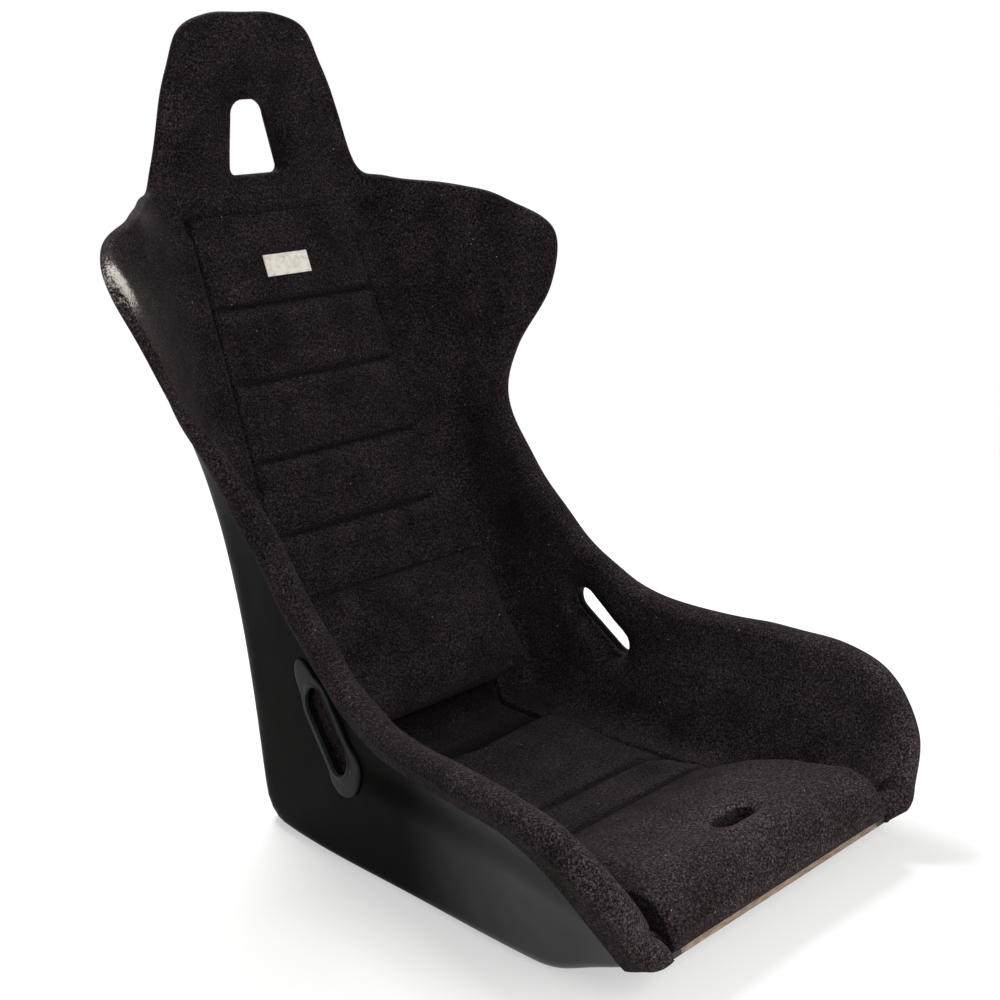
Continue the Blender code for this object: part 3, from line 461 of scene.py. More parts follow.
@dataclass(frozen=True)
class Velour(Finish):
    """Looped nylon velour: short tufts that lean every way, so that light catches it in grains."""

    tuft: float = 0.0021
    brush: float = 0.050
    streak: float = 0.003
    lint: float = 0.016

    def pattern(self) -> list:
        """Tufts, brushed patches, pale rubbed pile and painted highlight where the mark is high, and specks of
        lint.

        Where the mark is below zero the pile is darker by that share: pulled down by a seam, and painted shade.
        Tufts of about a millimetre stand in clumps of 2.1 mm; the clumps are drawn with two halvings
        of that size, and what is finer doesn't show.

        Returns:
            Rows of nodes.
        """
        add, colours = {"operation": "ADD"}, {"data_type": "RGBA"}
        pile = [(0.33, "#080707"), (0.47, "#231c1e"), (0.60, "#463c40"), (0.76, "#706468")]
        brushed = [(0.32, "#9f9896"), (0.68, "#e0dcda"), (1.0, "#ffffff")]
        return [
            ("tufts", "TexNoise",
             {"Scale": 1.0 / self.tuft, "Detail": 2.0, "Roughness": 0.8, "Distortion": 0.4}, PLACE),
            ("patches", "TexNoise", {"Scale": 1.0 / self.brush, "Detail": 3.0, "Roughness": 0.55}, PLACE),
            ("streaks", "TexNoise", {"Scale": 1.0 / self.streak, "Detail": 5.0, "Roughness": 0.7}, PLACE),
            ("wear", "Attribute", {"attribute_name": WEAR_AND_PAINTED_LIGHT}, {}),
            ("pile", "ValToRGB", {"stops": pile}, {"Fac": "tufts.Fac"}),
            # A mark above zero lightens the brushed patches: rubbed pile, and painted highlight.
            ("lifted", "Math", add, {0: "patches.Fac", 1: "wear.Fac"}),
            ("brushed", "ValToRGB", {"stops": brushed}, {"Fac": "lifted.0"}),
            ("mixed", "Mix", {**colours, "blend_type": "MULTIPLY", "Factor": 1.0},
             {6: "pile.Color", 7: "brushed.Color"}),
            # A high mark paints pale pile: wear on the crest of the rim, and a painted highlight on the right
            # wing.
            ("thin", "MapRange", {"From Min": 0.34, "From Max": 0.62}, {"Value": "streaks.Fac"}),
            ("bared", "Math", add, {0: "thin.Result", 1: "wear.Fac"}),
            ("rubbed", "MapRange", {"From Min": 1.3, "From Max": 1.85}, {"Value": "bared.0"}),
            # A mark below zero darkens towards black: pile pulled down at seams, and painted shade in seams and
            # gaps.
            ("pulled", "Math", {"operation": "MULTIPLY", "use_clamp": True, 1: -1.0}, {0: "wear.Fac"}),
            ("sewn", "Mix", {**colours, 7: linear("#000000")}, {"Factor": "pulled.0", 6: "mixed.2"}),
            ("worn", "Mix", {**colours, 7: linear("#cfc8bf")}, {"Factor": "rubbed.Result", 6: "sewn.2"}),
            ("cells", "TexVoronoi", {"Scale": 1.0 / self.lint}, PLACE),
            ("near", "Math", {"operation": "LESS_THAN", 1: 0.042}, {0: "cells.Distance"}),
            ("chance", "SeparateColor", {}, {"Color": "cells.Color"}),
            ("rare", "Math", {"operation": "GREATER_THAN", 1: 0.6}, {0: "chance.Red"}),
            ("speck", "Math", {"operation": "MULTIPLY"}, {0: "near.0", 1: "rare.0"}),
            ("linted", "Mix", {**colours, 7: linear("#a39c95")}, {"Factor": "speck.0", 6: "worn.2"}),
            ("bump", "Bump", {"Strength": 1.0, "Distance": 0.0030}, {"Height": "tufts.Fac"}),
            ("shader", "", {}, {"Base Color": "linted.2", "Normal": "bump.Normal"}),
        ]


@dataclass(frozen=True)
class Laminate(Finish):
    """Moulded glass-fibre laminate with a black gel coat: dull and dusty, rubbed to a shine in front."""

    dull: tuple = (-0.10, 0.012)
    shiny: tuple = (-0.42, 0.52)
    wave: float = 0.060
    grit: float = 0.0012
    smear: float = 0.035

    def pattern(self) -> list:
        """Slow waves of the mould, fine grit in the gel coat, and smears that change the gloss.

        Grit of about 0.3 mm is drawn at 1.2 mm so that it shows.  The coat is dull at the back and
        shines more towards the front, where legs and hands rub it; each pair is a place and a level.

        Returns:
            Rows of nodes.
        """
        stops = [(0.35, "#070605"), (0.62, "#0d0b0a"), (0.85, "#181512")]
        gloss = {"From Min": 0.3, "From Max": 0.75, "To Min": 0.30, "To Max": 0.48}
        shine = {"interpolation_type": "SMOOTHSTEP", "From Min": self.dull[0], "From Max": self.shiny[0],
                 "To Min": self.dull[1], "To Max": self.shiny[1]}
        return [
            ("waves", "TexNoise", {"Scale": 1.0 / self.wave, "Detail": 1.0}, PLACE),
            ("grit", "TexNoise", {"Scale": 1.0 / self.grit, "Detail": 1.0}, PLACE),
            ("smears", "TexNoise", {"Scale": 1.0 / self.smear, "Detail": 6.0, "Roughness": 0.7}, PLACE),
            ("colour", "ValToRGB", {"stops": stops}, {"Fac": "smears.Fac"}),
            ("gloss", "MapRange", gloss, {"Value": "smears.Fac"}),
            ("parts", "SeparateXYZ", {}, PLACE),
            ("shine", "MapRange", shine, {"Value": "parts.Y"}),
            ("slow", "Bump", {"Strength": 0.25, "Distance": 0.004}, {"Height": "waves.Fac"}),
            ("fine", "Bump", {"Strength": 0.10, "Distance": 0.0004},
             {"Height": "grit.Fac", "Normal": "slow.Normal"}),
            ("shader", "", {}, {"Base Color": "colour.Color", "Roughness": "gloss.Result",
                                "Specular IOR Level": "shine.Result", "Normal": "fine.Normal"}),
        ]


@dataclass(frozen=True)
class RawEdge(Finish):
    """Sawn edge of the laminate: straw-coloured resin with short glass strands in it."""

    strand: float = 0.004

    def pattern(self) -> list:
        """Strands as stretched noise, lighter and darker than the resin.

        Returns:
            Rows of nodes.
        """
        stops = [(0.3, "#54473b"), (0.55, "#7b6a5b"), (0.8, "#9c8b7a")]
        return [
            ("drawn", "Mapping", {"Scale": (0.35, 1.0, 2.2)}, PLACE),
            ("strands", "TexNoise", {"Scale": 1.0 / self.strand, "Detail": 4.0, "Roughness": 0.65},
             {"Vector": "drawn.Vector"}),
            ("colour", "ValToRGB", {"stops": stops}, {"Fac": "strands.Fac"}),
            ("bump", "Bump", {"Strength": 0.4, "Distance": 0.0006}, {"Height": "strands.Fac"}),
            JOINED,
        ]


@dataclass(frozen=True)
class MouldedPlastic(Finish):
    """Moulded ABS with a spark-eroded grain and paler rubbed spots."""

    grain: float = 0.0011
    rub: float = 0.014

    def pattern(self) -> list:
        """Even grain of the mould, 0.2 mm but drawn at 1.1 mm so that it shows, and blotches of wear.

        Returns:
            Rows of nodes.
        """
        stops = [(0.35, "#18181a"), (0.6, "#222325"), (0.8, "#333437")]
        return [
            ("grain", "TexNoise", {"Scale": 1.0 / self.grain, "Detail": 1.0}, PLACE),
            ("rub", "TexNoise", {"Scale": 1.0 / self.rub, "Detail": 4.0, "Roughness": 0.6}, PLACE),
            ("colour", "ValToRGB", {"stops": stops}, {"Fac": "rub.Fac"}),
            ("bump", "Bump", {"Strength": 0.25, "Distance": 0.0003}, {"Height": "grain.Fac"}),
            JOINED,
        ]


@dataclass(frozen=True)
class WovenCloth(Finish):
    """Woven polyester ribbon: warp and weft ribs that cross at right angles, a little soiled."""

    thread: float = 0.0015
    soil: float = 0.00625

    def pattern(self) -> list:
        """Ribs as two crossed sine bands, with soil in patches of a few millimetres.

        A thread of about 0.3 mm is drawn at 1.5 mm so that it shows; a band texture repeats every
        0.314 of its own units.

        Returns:
            Rows of nodes.
        """
        stops = [(0.32, "#c8c1b2"), (0.55, "#e6e0d3"), (0.8, "#f2eee4")]
        return [
            *((way, "TexWave", {"Scale": 0.314 / self.thread, "bands_direction": way}, PLACE) for way in "XZ"),
            ("weave", "Math", {"operation": "MULTIPLY"}, {0: "X.Fac", 1: "Z.Fac"}),
            ("soil", "TexNoise", {"Scale": 1.0 / self.soil, "Detail": 5.0}, PLACE),
            ("both", "Math", {"operation": "MULTIPLY_ADD", 1: 0.25}, {0: "weave.0", 2: "soil.Fac"}),
            ("colour", "ValToRGB", {"stops": stops}, {"Fac": "both.0"}),
            ("bump", "Bump", {"Strength": 0.4, "Distance": 0.0003}, {"Height": "weave.0"}),
            JOINED,
        ]


@dataclass(frozen=True)
class HookTape(Finish):
    """Hook-and-loop tape: rows of tiny nylon hooks on a woven strip."""

    pitch: float = 0.0018

    def pattern(self) -> list:
        """One dot of nylon to each cell; hooks 1.5 mm apart are drawn at 1.8 mm.

        Returns:
            Rows of nodes.
        """
        stops = [(0.15, "#3b3b3d"), (0.55, "#151516")]
        return [
            ("hooks", "TexVoronoi", {"Scale": 1.0 / self.pitch, "Randomness": 0.35}, PLACE),
            ("colour", "ValToRGB", {"stops": stops}, {"Fac": "hooks.Distance"}),
            ("bump", "Bump", {"Strength": 0.6, "Distance": 0.0008, "invert": True},
             {"Height": "hooks.Distance"}),
            JOINED,
        ]


@dataclass(frozen=True)
class ZincPlate(Finish):
    """Zinc-plated mild steel: fine rolling lines and faintly clouded plating."""

    line: float = 0.0012
    cloud: float = 1.0 / 60.0

    def pattern(self) -> list:
        """Rolling lines along the plate, drawn at 1.2 mm so that they show, and cloudy gloss.

        Returns:
            Rows of nodes.
        """
        return [
            ("drawn", "Mapping", {"Scale": (1.0, 0.04, 1.0)}, PLACE),
            ("lines", "TexNoise", {"Scale": 1.0 / self.line, "Detail": 2.0}, {"Vector": "drawn.Vector"}),
            ("clouds", "TexNoise", {"Scale": 1.0 / self.cloud, "Detail": 4.0}, PLACE),
            ("colour", "ValToRGB", {"stops": [(0.35, "#b3b5b0"), (0.7, "#cfd1cd")]}, {"Fac": "clouds.Fac"}),
            ("gloss", "MapRange", {"To Min": 0.26, "To Max": 0.46}, {"Value": "clouds.Fac"}),
            ("bump", "Bump", {"Strength": 0.15, "Distance": 0.0002}, {"Height": "lines.Fac"}),
            ("shader", "", {}, {"Roughness": "gloss.Result"}),
            JOINED,
        ]


VELOUR = Velour("nylon_velour", "#171213", 0.95, sheen=0.05, sheen_roughness=0.35, sheen_tint="#cfc3c2",
                specular=0.05)
LAMINATE = Laminate("black_gel_coat", "#0d0b0a", 0.38, specular=0.02)
RAW_EDGE = RawEdge("sawn_laminate", "#a38d78", 0.85)
PLASTIC = MouldedPlastic("moulded_abs", "#222325", 0.50, specular=0.08)
LABEL_CLOTH = WovenCloth("woven_label", "#e6e0d3", 0.85)
TAPE = HookTape("hook_tape", "#1b1b1c", 0.85)
ZINC = ZincPlate("zinc_plated_steel", "#c3c5c1", 0.35, metallic=1.0)


# Form of the seat


@dataclass(frozen=True)
class Station:
    """A cross-section: where it leaves the centre line, its widths and its place on the rim."""

    run: float
    fan: float
    floor: float
    bend: float
    soft_floor: float
    soft_bend: float
    foam: float
    roll: float
    crest: tuple


@dataclass(frozen=True)
class SeatForm:
    """Sizes of the seat and the family of cross-sections that its curved pieces follow."""

    shoulder_width: float = 0.584
    waist_width: float = 0.400
    thigh_width: float = 0.466
    neck_width: float = 0.280
    headrest_top_width: float = 0.170
    base_half: float = 0.205
    base_rear: float = 0.140
    base_front: float = -0.282
    front_lip: float = -0.380
    front_lip_height: float = 0.037
    back_lean: float = math.radians(20.0)
    neck_height: float = 0.653
    headrest_rise: float = 0.177
    headrest_rim_reach: float = 0.016
    head_bend_drop: float = 0.027
    wing_drop: float = 0.085
    wing_reach: float = 0.168
    waist_drop: float = 0.250
    thigh_height: float = 0.174
    shell_wall: float = 0.005
    wall_bend: float = 0.044
    pan_bend: float = 0.014
    hip_bend: float = 0.024
    neck_bend: float = 0.014
    front_bend: float = 0.016
    thin_roll: float = 0.006
    thick_roll: float = 0.016
    back_foam: float = 0.030
    pan_foam: float = 0.028
    headrest_foam: float = 0.022
    pad_top_drop: float = 0.049
    pad_low_height: float = 0.062
    pad_top_half: float = 0.107
    pad_low_half: float = 0.126
    cushion_rear: float = 0.043
    cushion_front: float = -0.388
    cushion_rear_half: float = 0.123
    cushion_front_half: float = 0.158
    crease_depth: float = 0.009
    hip_run: tuple = (0.215, 0.106)
    hip_share: tuple = (0.5, -0.3)

    @property
    def bend_height(self) -> float:
        """Height at which the leaning back meets the upright headrest."""
        return self.neck_height - self.head_bend_drop

    @property
    def headrest_back(self) -> float:
        """Place of the inside of the upright headrest."""
        return self.base_rear + (self.bend_height - self.shell_wall) * math.tan(self.back_lean)

    @property
    def pad_top(self) -> float:
        """Height of the top of the back pad."""
        return self.neck_height - self.pad_top_drop

    @property
    def waist_height(self) -> float:
        """Height of the narrowest part of the sides."""
        return self.neck_height - self.wing_drop - self.waist_drop

    @property
    def ramp(self) -> Array:
        """Step (y, z) from the foot of the front ramp to the front lip."""
        return np.array([self.front_lip - self.base_front, self.front_lip_height - self.shell_wall])

    def up_back(self, height: Array | float) -> Array | float:
        """Run along the centre line for a height on the leaning back."""
        return -(height - self.shell_wall) / math.cos(self.back_lean)

    def up_headrest(self, height: float) -> float:
        """Run along the centre line for a height on the upright headrest."""
        return self.up_back(self.bend_height) - (height - self.bend_height)

    def on_pan(self, y: float) -> float:
        """Run along the centre line for a place on the flat pan."""
        return self.base_rear - y

    def on_ramp(self, share: float) -> float:
        """Run along the centre line for a share of the front ramp."""
        return self.on_pan(self.base_front) + share * float(np.linalg.norm(self.ramp))

    def hip_rim(self, place: float) -> Array:
        """Point (y, z) of the rim above the hips, from its upper station at 0 to its lower one at 1.

        Args:
            place: place between the two stations.

        Returns:
            The point.
        """
        run, share = (start + step * place for start, step in (self.hip_run, self.hip_share))
        y = self.wing_reach + run * (self.front_lip - self.wing_reach)
        return np.array([y, share * self.waist_height + (1.0 - share) * self.thigh_height])

    def spine(self, run: Array) -> tuple[Array, Array]:
        """Centre line of the shell's inside: straight stretches joined by three circular bends.

        Args:
            run: lengths along the centre line, negative up the back.

        Returns:
            Points (y, z) and directions, from the headrest to the lip.
        """
        run = np.atleast_1d(np.asarray(run, float))
        down_head = np.array([0.0, -1.0])
        down_back = np.array([-math.sin(self.back_lean), -math.cos(self.back_lean)])
        along_pan = np.array([-1.0, 0.0])
        corners = (
            (np.array([self.headrest_back, self.bend_height]), self.up_back(self.bend_height), down_head,
             down_back, self.neck_bend),
            (np.array([self.base_rear, self.shell_wall]), 0.0, down_back, along_pan, self.hip_bend),
            (np.array([self.base_front, self.shell_wall]), self.on_pan(self.base_front), along_pan,
             unit(self.ramp), self.front_bend),
        )
        place, at, before, _, _ = corners[0]
        points = place + (run - at)[:, None] * before
        ways = np.broadcast_to(before, points.shape).copy()
        for place, at, before, after, cut in corners:
            past = run >= at
            points[past] = place + (run[past] - at)[:, None] * after
            ways[past] = after
            bent = np.abs(run - at) < cut
            turn = math.atan2(before[0] * after[1] - before[1] * after[0], float(before @ after))
            hand = math.copysign(1.0, turn)
            angle = (run[bent] - at + cut) / (2.0 * cut) * turn
            way = np.column_stack([before[0] * np.cos(angle) - before[1] * np.sin(angle),
                                   before[0] * np.sin(angle) + before[1] * np.cos(angle)])
            start_side = hand * np.array([-before[1], before[0]])
            side = hand * np.column_stack([-way[:, 1], way[:, 0]])
            points[bent] = place + cut * ((start_side - side) / math.tan(abs(turn) / 2.0) - before)
            ways[bent] = way
        return points, ways

    def pad_half(self, run: Array) -> Array:
        """Half-width of the pads between the two side covers at runs of the centre line.

        Args:
            run: lengths along the centre line.

        Returns:
            A half-width for each.
        """
        points, _ = self.spine(run)
        y, z = points.T
        share = np.clip((self.pad_top - z) / (self.pad_top - self.pad_low_height), None, 1.0)
        on_back = self.pad_top_half + share * (self.pad_low_half - self.pad_top_half)
        way = np.clip(run / self.on_pan(self.cushion_rear), 0.0, 1.0)
        low = self.pad_low_half + way * (self.cushion_rear_half - self.pad_low_half)
        share = np.clip((self.cushion_rear - y) / (self.cushion_rear - self.cushion_front), 0.0, None)
        on_pan = low + share * (self.cushion_front_half - self.cushion_rear_half)
        return np.where(np.asarray(run) < 0.0, on_back, on_pan)

    def stations(self) -> list[Station]:
        """Cross-sections from the top of the headrest, down the back and out to the front lip.

        Returns:
            The cross-sections in order.
        """
        shoulder, waist, thigh = self.shoulder_width / 2.0, self.waist_width / 2.0, self.thigh_width / 2.0
        neck, crown = self.neck_width / 2.0, self.headrest_top_width / 2.0
        base, front, narrow = self.base_half, self.cushion_front_half, self.waist_height
        head = self.headrest_back - self.headrest_rim_reach
        rise, drop, level, lip = self.headrest_rise, self.waist_drop, self.thigh_height, self.front_lip
        top, tip = self.neck_height + self.headrest_rise, self.neck_height - self.wing_drop
        reach, run = self.wing_reach, self.front_lip - self.wing_reach
        thin, thick = self.thin_roll, self.thick_roll
        middle = 0.5 * (thin + thick)
        head_rows = (
            (0.26, 1.0, 0.13 * neck, 0.14, 0.10 * neck, 0.23, (0.0, head, top)),
            (0.294, 1.0, 0.27 * neck, 0.27, 0.185 * neck, 0.32, (0.53 * crown, head, top - 0.011 * rise)),
            (0.373, 1.0, 0.44 * neck, 0.36, 0.33 * neck, 0.455, (0.953 * crown, head, top - 0.102 * rise)),
            (0.497, 1.0, 0.53 * neck, 0.36, 0.414 * neck, 0.50, (1.19 * crown, head, top - 0.328 * rise)),
            (0.723, 0.6, 0.643 * neck, 0.41, 0.514 * neck, 0.545,
             (0.35 * crown + 0.65 * neck, head - 0.3 * thin, top - 0.644 * rise)),
        )
        back_rows = (
            (tip + 0.048 * drop, 0.71, 0.59, 0.66, 0.455, thin,
             (0.82 * neck + 0.18 * shoulder, 0.84 * head + 0.16 * reach, self.neck_height - 0.048 * drop)),
            (tip - 0.048 * drop, 0.75, 0.77, 0.69, 0.59, thin,
             (0.45 * neck + 0.55 * shoulder, 0.46 * head + 0.54 * reach, tip + 0.232 * drop)),
            (tip - 0.136 * drop, 0.78, 0.91, 0.71, 0.68, thin,
             (0.931 * shoulder, 0.274 * head + 0.726 * reach, tip + 0.144 * drop)),
            (tip - 0.256 * drop, 0.80, 1.0, 0.73, 0.77, thin, (shoulder, reach, tip)),
            (tip - 0.448 * drop, 0.81, 1.0, 0.75, 0.77, thin,
             (0.925 * shoulder, reach + 0.022 * run, tip - 0.248 * drop)),
            (tip - 0.672 * drop, 0.805, 0.955, 0.775, 0.73, thin,
             (0.66 * waist + 0.34 * shoulder, reach - 0.015 * run, tip - 0.52 * drop)),
            (tip - 0.888 * drop, 0.815, 0.955, 0.80, 0.68, middle,
             (waist, reach + 0.004 * run, tip - 0.736 * drop)),
            (0.865 * narrow, 0.835, 0.955, 0.82, 0.636, thick, (0.94 * waist, reach + 0.095 * run, narrow)),
            (0.629 * narrow, 0.87, 0.91, 0.835, 0.636, thick, (0.95 * waist, *self.hip_rim(0.0))),
            (0.377 * narrow, 0.92, 0.77, 0.85, 0.636, thick, (0.98 * waist, *self.hip_rim(1.0))),
        )
        pan_rows = (
            (0.0, 0.97, 1.43, 0.83, 0.636, thick,
             (1.01 * waist, reach + 0.4015 * run, 0.07 * narrow + 0.93 * level)),
            (0.237, 1.0, 1.0, 0.80, 0.68, thick, (0.6 * waist + 0.4 * thigh, reach + 0.5 * run, level)),
            (0.569, 1.0, 1.0, 0.77, 0.545, thick, (0.97 * thigh, reach + 0.675 * run, level)),
            (0.841, 1.0, 1.0, 0.81, 0.455, thick, (thigh, reach + 0.832 * run, 0.983 * level)),
        )
        ramp_rows = (
            (0.02, 0.985 * base, 1.0, 0.84 * base, 0.41, thick,
             (0.98 * thigh, reach + 0.934 * run, 0.86 * level)),
            (0.40, 0.93 * base, 1.0, 0.84 * base, 0.32, thick, (0.91 * thigh, lip, 0.62 * level)),
            (0.78, 1.127 * front, 0.57, 1.076 * front, 0.18, 1.2 * thick,
             (1.215 * front, lip - thin, 0.40 * level)),
            (1.00, 1.05 * front, 0.29, 1.044 * front, 0.09, thick,
             (1.11 * front, lip - 0.5 * thin, self.front_lip_height + 4.0 * thin)),
        )
        rows = [Station(self.up_headrest(top - share * rise), fan, floor, bend * self.wall_bend, soft,
                        soft_bend * self.wall_bend, self.headrest_foam, thin, crest)
                for share, fan, floor, bend, soft, soft_bend, crest in head_rows]
        rows.append(Station(self.up_back(self.pad_top), 0.0, 0.943 * neck, 0.41 * self.wall_bend, 0.914 * neck,
                            0.364 * self.wall_bend, self.headrest_foam, thin,
                            (neck, head - thin, self.neck_height)))
        rows += [Station(self.up_back(height), 0.0, floor * waist, bend * self.wall_bend, soft * waist,
                         soft_bend * self.wall_bend, self.back_foam, roll, crest)
                 for height, floor, bend, soft, soft_bend, roll, crest in back_rows]
        rows += [Station(share * self.on_pan(self.base_front), 0.0, floor * base, bend * self.pan_bend,
                         soft * base, soft_bend * self.wall_bend,
                         self.back_foam if share == 0.0 else self.pan_foam, roll, crest)
                 for share, floor, bend, soft, soft_bend, roll, crest in pan_rows]
        rows += [Station(self.on_ramp(share), 0.0, floor, bend * self.pan_bend, soft,
                         soft_bend * self.wall_bend, self.pan_foam * (1.0 - 0.55 * share**6), roll, crest)
                 for share, floor, bend, soft, soft_bend, roll, crest in ramp_rows]
        return rows


class Rings:
    """Whole arrays for a dense set of cross-sections, between and on the form's stations."""

    CREST_COLUMN = 8
    TRIM_GAP = 0.0006
    LIP_GAP = 0.0012
    PAD_GAP = 0.0010
    HARDWARE = 0.0051
    CREASE_FROM = (0.100, -0.02)
    CREASE_TO = (-0.27, 0.85)
    LEDGE = (0.56, 0.74)
    SHELL_STEPS = (12, 12, 24)
    COVER_STEPS = (14, 14, 22, 14, 6)
    LONG_LIP = (-0.20, 0.6)
    LIP_GROWTH = 0.6
    LIP_LIMIT = 0.9

    def __init__(self, form: SeatForm, steps: int) -> None:
        """Work out every ring.

        Args:
            form: the seat's sizes.
            steps: rings to each stretch between two stations.
        """
        self.form = form
        rows = np.array([(*list(vars(s).values())[:-1], *s.crest) for s in form.stations()])
        table = self.smoothed(rows, steps)
        plain, self.crest = np.split(table, [self.CREST_COLUMN], axis=1)
        self.run, fan, floor, bend, soft_floor, soft_bend, self.foam, self.roll = plain.T
        self.crest[0, 0] = 0.0
        points, ways = form.spine(self.run)
        none = np.zeros((len(points), 1))
        self.centre, along = np.hstack([none, points]), np.hstack([none, ways])
        self.inward = np.column_stack([none, along[:, 2], -along[:, 1]])
        reach = self.crest - self.centre
        swing = np.clip(fan, 0.0, 1.0) * np.arctan2((reach * along).sum(1), reach[:, 0])
        self.out = np.cos(swing)[:, None] * ACROSS + np.sin(swing)[:, None] * along
        self.corner = self.centre + self.out * floor[:, None]
        self.wall = unit(self.crest - self.corner)
        ahead = np.vstack([self.crest[1:2] * MIRROR, self.crest, 2 * self.crest[-1:] - self.crest[-2:-1]])
        self.outward = unit(np.cross(self.wall, ahead[2:] - ahead[:-2]))
        self.rim = self.crest - self.wall * self.roll[:, None] - self.outward * form.shell_wall / 2.0
        edge = form.pad_half(self.run) + self.PAD_GAP / 2.0
        on_head = self.run < form.up_back(form.pad_top) - 1e-4
        self.edge = np.where(on_head, np.minimum(edge, 0.5 * (floor - bend)), edge)
        wall_length = np.linalg.norm(self.rim - self.corner, axis=1)
        self.bend = np.minimum(bend, np.minimum(floor - self.edge - 3 * self.PAD_GAP, 0.8 * wall_length))
        self.soft_corner = self.centre + self.out * soft_floor[:, None] + self.inward * self.foam[:, None]
        self.soft_bend = np.minimum(soft_bend, soft_floor - self.edge - 2 * self.PAD_GAP)
        self.bed = self.TRIM_GAP + np.clip(self.run / form.hip_bend, 0.0, 1.0) * self.HARDWARE
        grown = smooth_step(*(form.on_pan(y) for y in self.CREASE_FROM), self.run)
        faded = smooth_step(form.on_pan(self.CREASE_TO[0]), form.on_ramp(self.CREASE_TO[1]), self.run)
        self.crease = form.crease_depth * (grown * (1.0 - faded))

    def smoothed(self, rows: Array, steps: int) -> Array:
        """Catmull-Rom curve through the rows, mirrored at the first row.

        Args:
            rows: a row of sizes for each station.
            steps: steps to each stretch.

        Returns:
            The dense rows.
        """
        before = rows[1] * np.where(np.arange(rows.shape[1]) == self.CREST_COLUMN, -1.0, 1.0)
        held = np.vstack([before, rows, 2.0 * rows[-1] - rows[-2]])
        place = np.linspace(0.0, len(rows) - 1.0, (len(rows) - 1) * steps + 1)
        index = np.minimum(place.astype(int), len(rows) - 2)
        t = (place - index)[:, None]
        a, b, c, d = (held[index + k] for k in range(4))
        return 0.5 * (2 * b + (c - a) * t + (2 * a - 5 * b + 4 * c - d) * t**2 + (3 * b - a - 3 * c + d) * t**3)

    def controls(self, offset: float) -> tuple[Array, Array, Array, Array]:
        """Centre, corner, rim and bend of the shell's surface moved outwards by an offset.

        Args:
            offset: distance outwards.

        Returns:
            An array of each, ring by ring.
        """
        back = -self.inward
        facing = (back * self.outward).sum(1, keepdims=True)
        corner = self.corner + offset * (back + self.outward) / (1.0 + facing)
        half_turn = np.sqrt(np.maximum(1.0 - facing, 0.0) / (1.0 + facing))[:, 0]
        rim = self.rim + offset * self.outward
        return self.centre + offset * back, corner, rim, self.bend + offset * half_turn

    def bend_and_wall(self, start: Array, corner: Array, end: Array, cut: Array,
                      bends: int, walls: int, crease: bool) -> Array:
        """Points round a parabola at the corner and on up the wall.

        The wall may have a soft ledge: it stands straight to 0.56 of its height, steps in to 0.74 on
        a cubic with level ends, and flares out again to its end.

        Args:
            start: points that the section comes from.
            corner: corners of the bend.
            end: ends of the wall.
            cut: lengths that the bend takes off its two arms.
            bends: steps round the bend.
            walls: steps up the wall.
            crease: whether the wall has the crease.

        Returns:
            Grid of points, rings by steps.
        """
        t = np.linspace(0.0, 1.0, bends + 1)[None, :, None]
        first = corner + unit(start - corner) * cut[:, None]
        last = corner + unit(end - corner) * cut[:, None]
        arc = first[:, None] * (1 - t) ** 2 + corner[:, None] * 2 * t * (1 - t) + last[:, None] * t**2
        s = np.linspace(0.0, 1.0, walls + 1)[1:]
        wall = last[:, None] * (1 - s[:, None]) + end[:, None] * s[:, None]
        if crease:
            dent = np.minimum(smooth_step(*self.LEDGE, s), (1.0 - s) / (1.0 - self.LEDGE[1]))
            wall = wall - (self.crease[:, None] * dent)[..., None] * self.outward[:, None]
        return np.concatenate([arc, wall], axis=1)

    def shell(self, offset: float) -> Array:
        """Grid of the shell's surface at an offset, from the centre line to the rim.

        Args:
            offset: distance outwards from the inside.

        Returns:
            Grid of points, rings by columns.
        """
        floors, bends, walls = self.SHELL_STEPS
        start, corner, rim, cut = self.controls(offset)
        steps = np.linspace(0.0, 1.0, floors + 1)
        floor = start[:, None] + self.out[:, None] * (self.edge[:, None] * steps)[..., None]
        side = self.bend_and_wall(start, corner, rim, cut, bends, walls, True)
        return np.concatenate([floor, side], axis=1)

    def over_rim(self, radius: Array | float, steps: int) -> Array:
        """Points over the rim from its inner to its outer side, on a half circle.

        Args:
            radius: radius of the half circle.
            steps: steps round it.

        Returns:
            Grid of points, rings by steps.
        """
        middle = self.rim + self.outward * self.form.shell_wall / 2.0
        angle = np.linspace(0.0, math.pi, steps + 1)[None, :, None]
        spokes = np.sin(angle) * self.wall[:, None] - np.cos(angle) * self.outward[:, None]
        return middle[:, None] + np.reshape(radius, (-1, 1, 1)) * spokes

    def lip(self, offset: float, length: Array, start: Array, steps: int) -> Array:
        """Points down the turned-over lip, from the end of the roll and no further than the wall.

        Args:
            offset: distance of the lip's end from the inside of the shell.
            length: length of the lip at each ring.
            start: points at the end of the roll.
            steps: steps down the lip.

        Returns:
            Grid of points, rings by steps.
        """
        _, corner, rim, _ = self.controls(offset)
        down = corner - rim
        length = np.minimum(length, self.LIP_LIMIT * np.linalg.norm(down, axis=1))
        end = rim + unit(down) * length[:, None]
        s = np.linspace(0.0, 1.0, steps + 1)[None, 1:, None]
        return start[:, None] * (1 - s) + end[:, None] * s

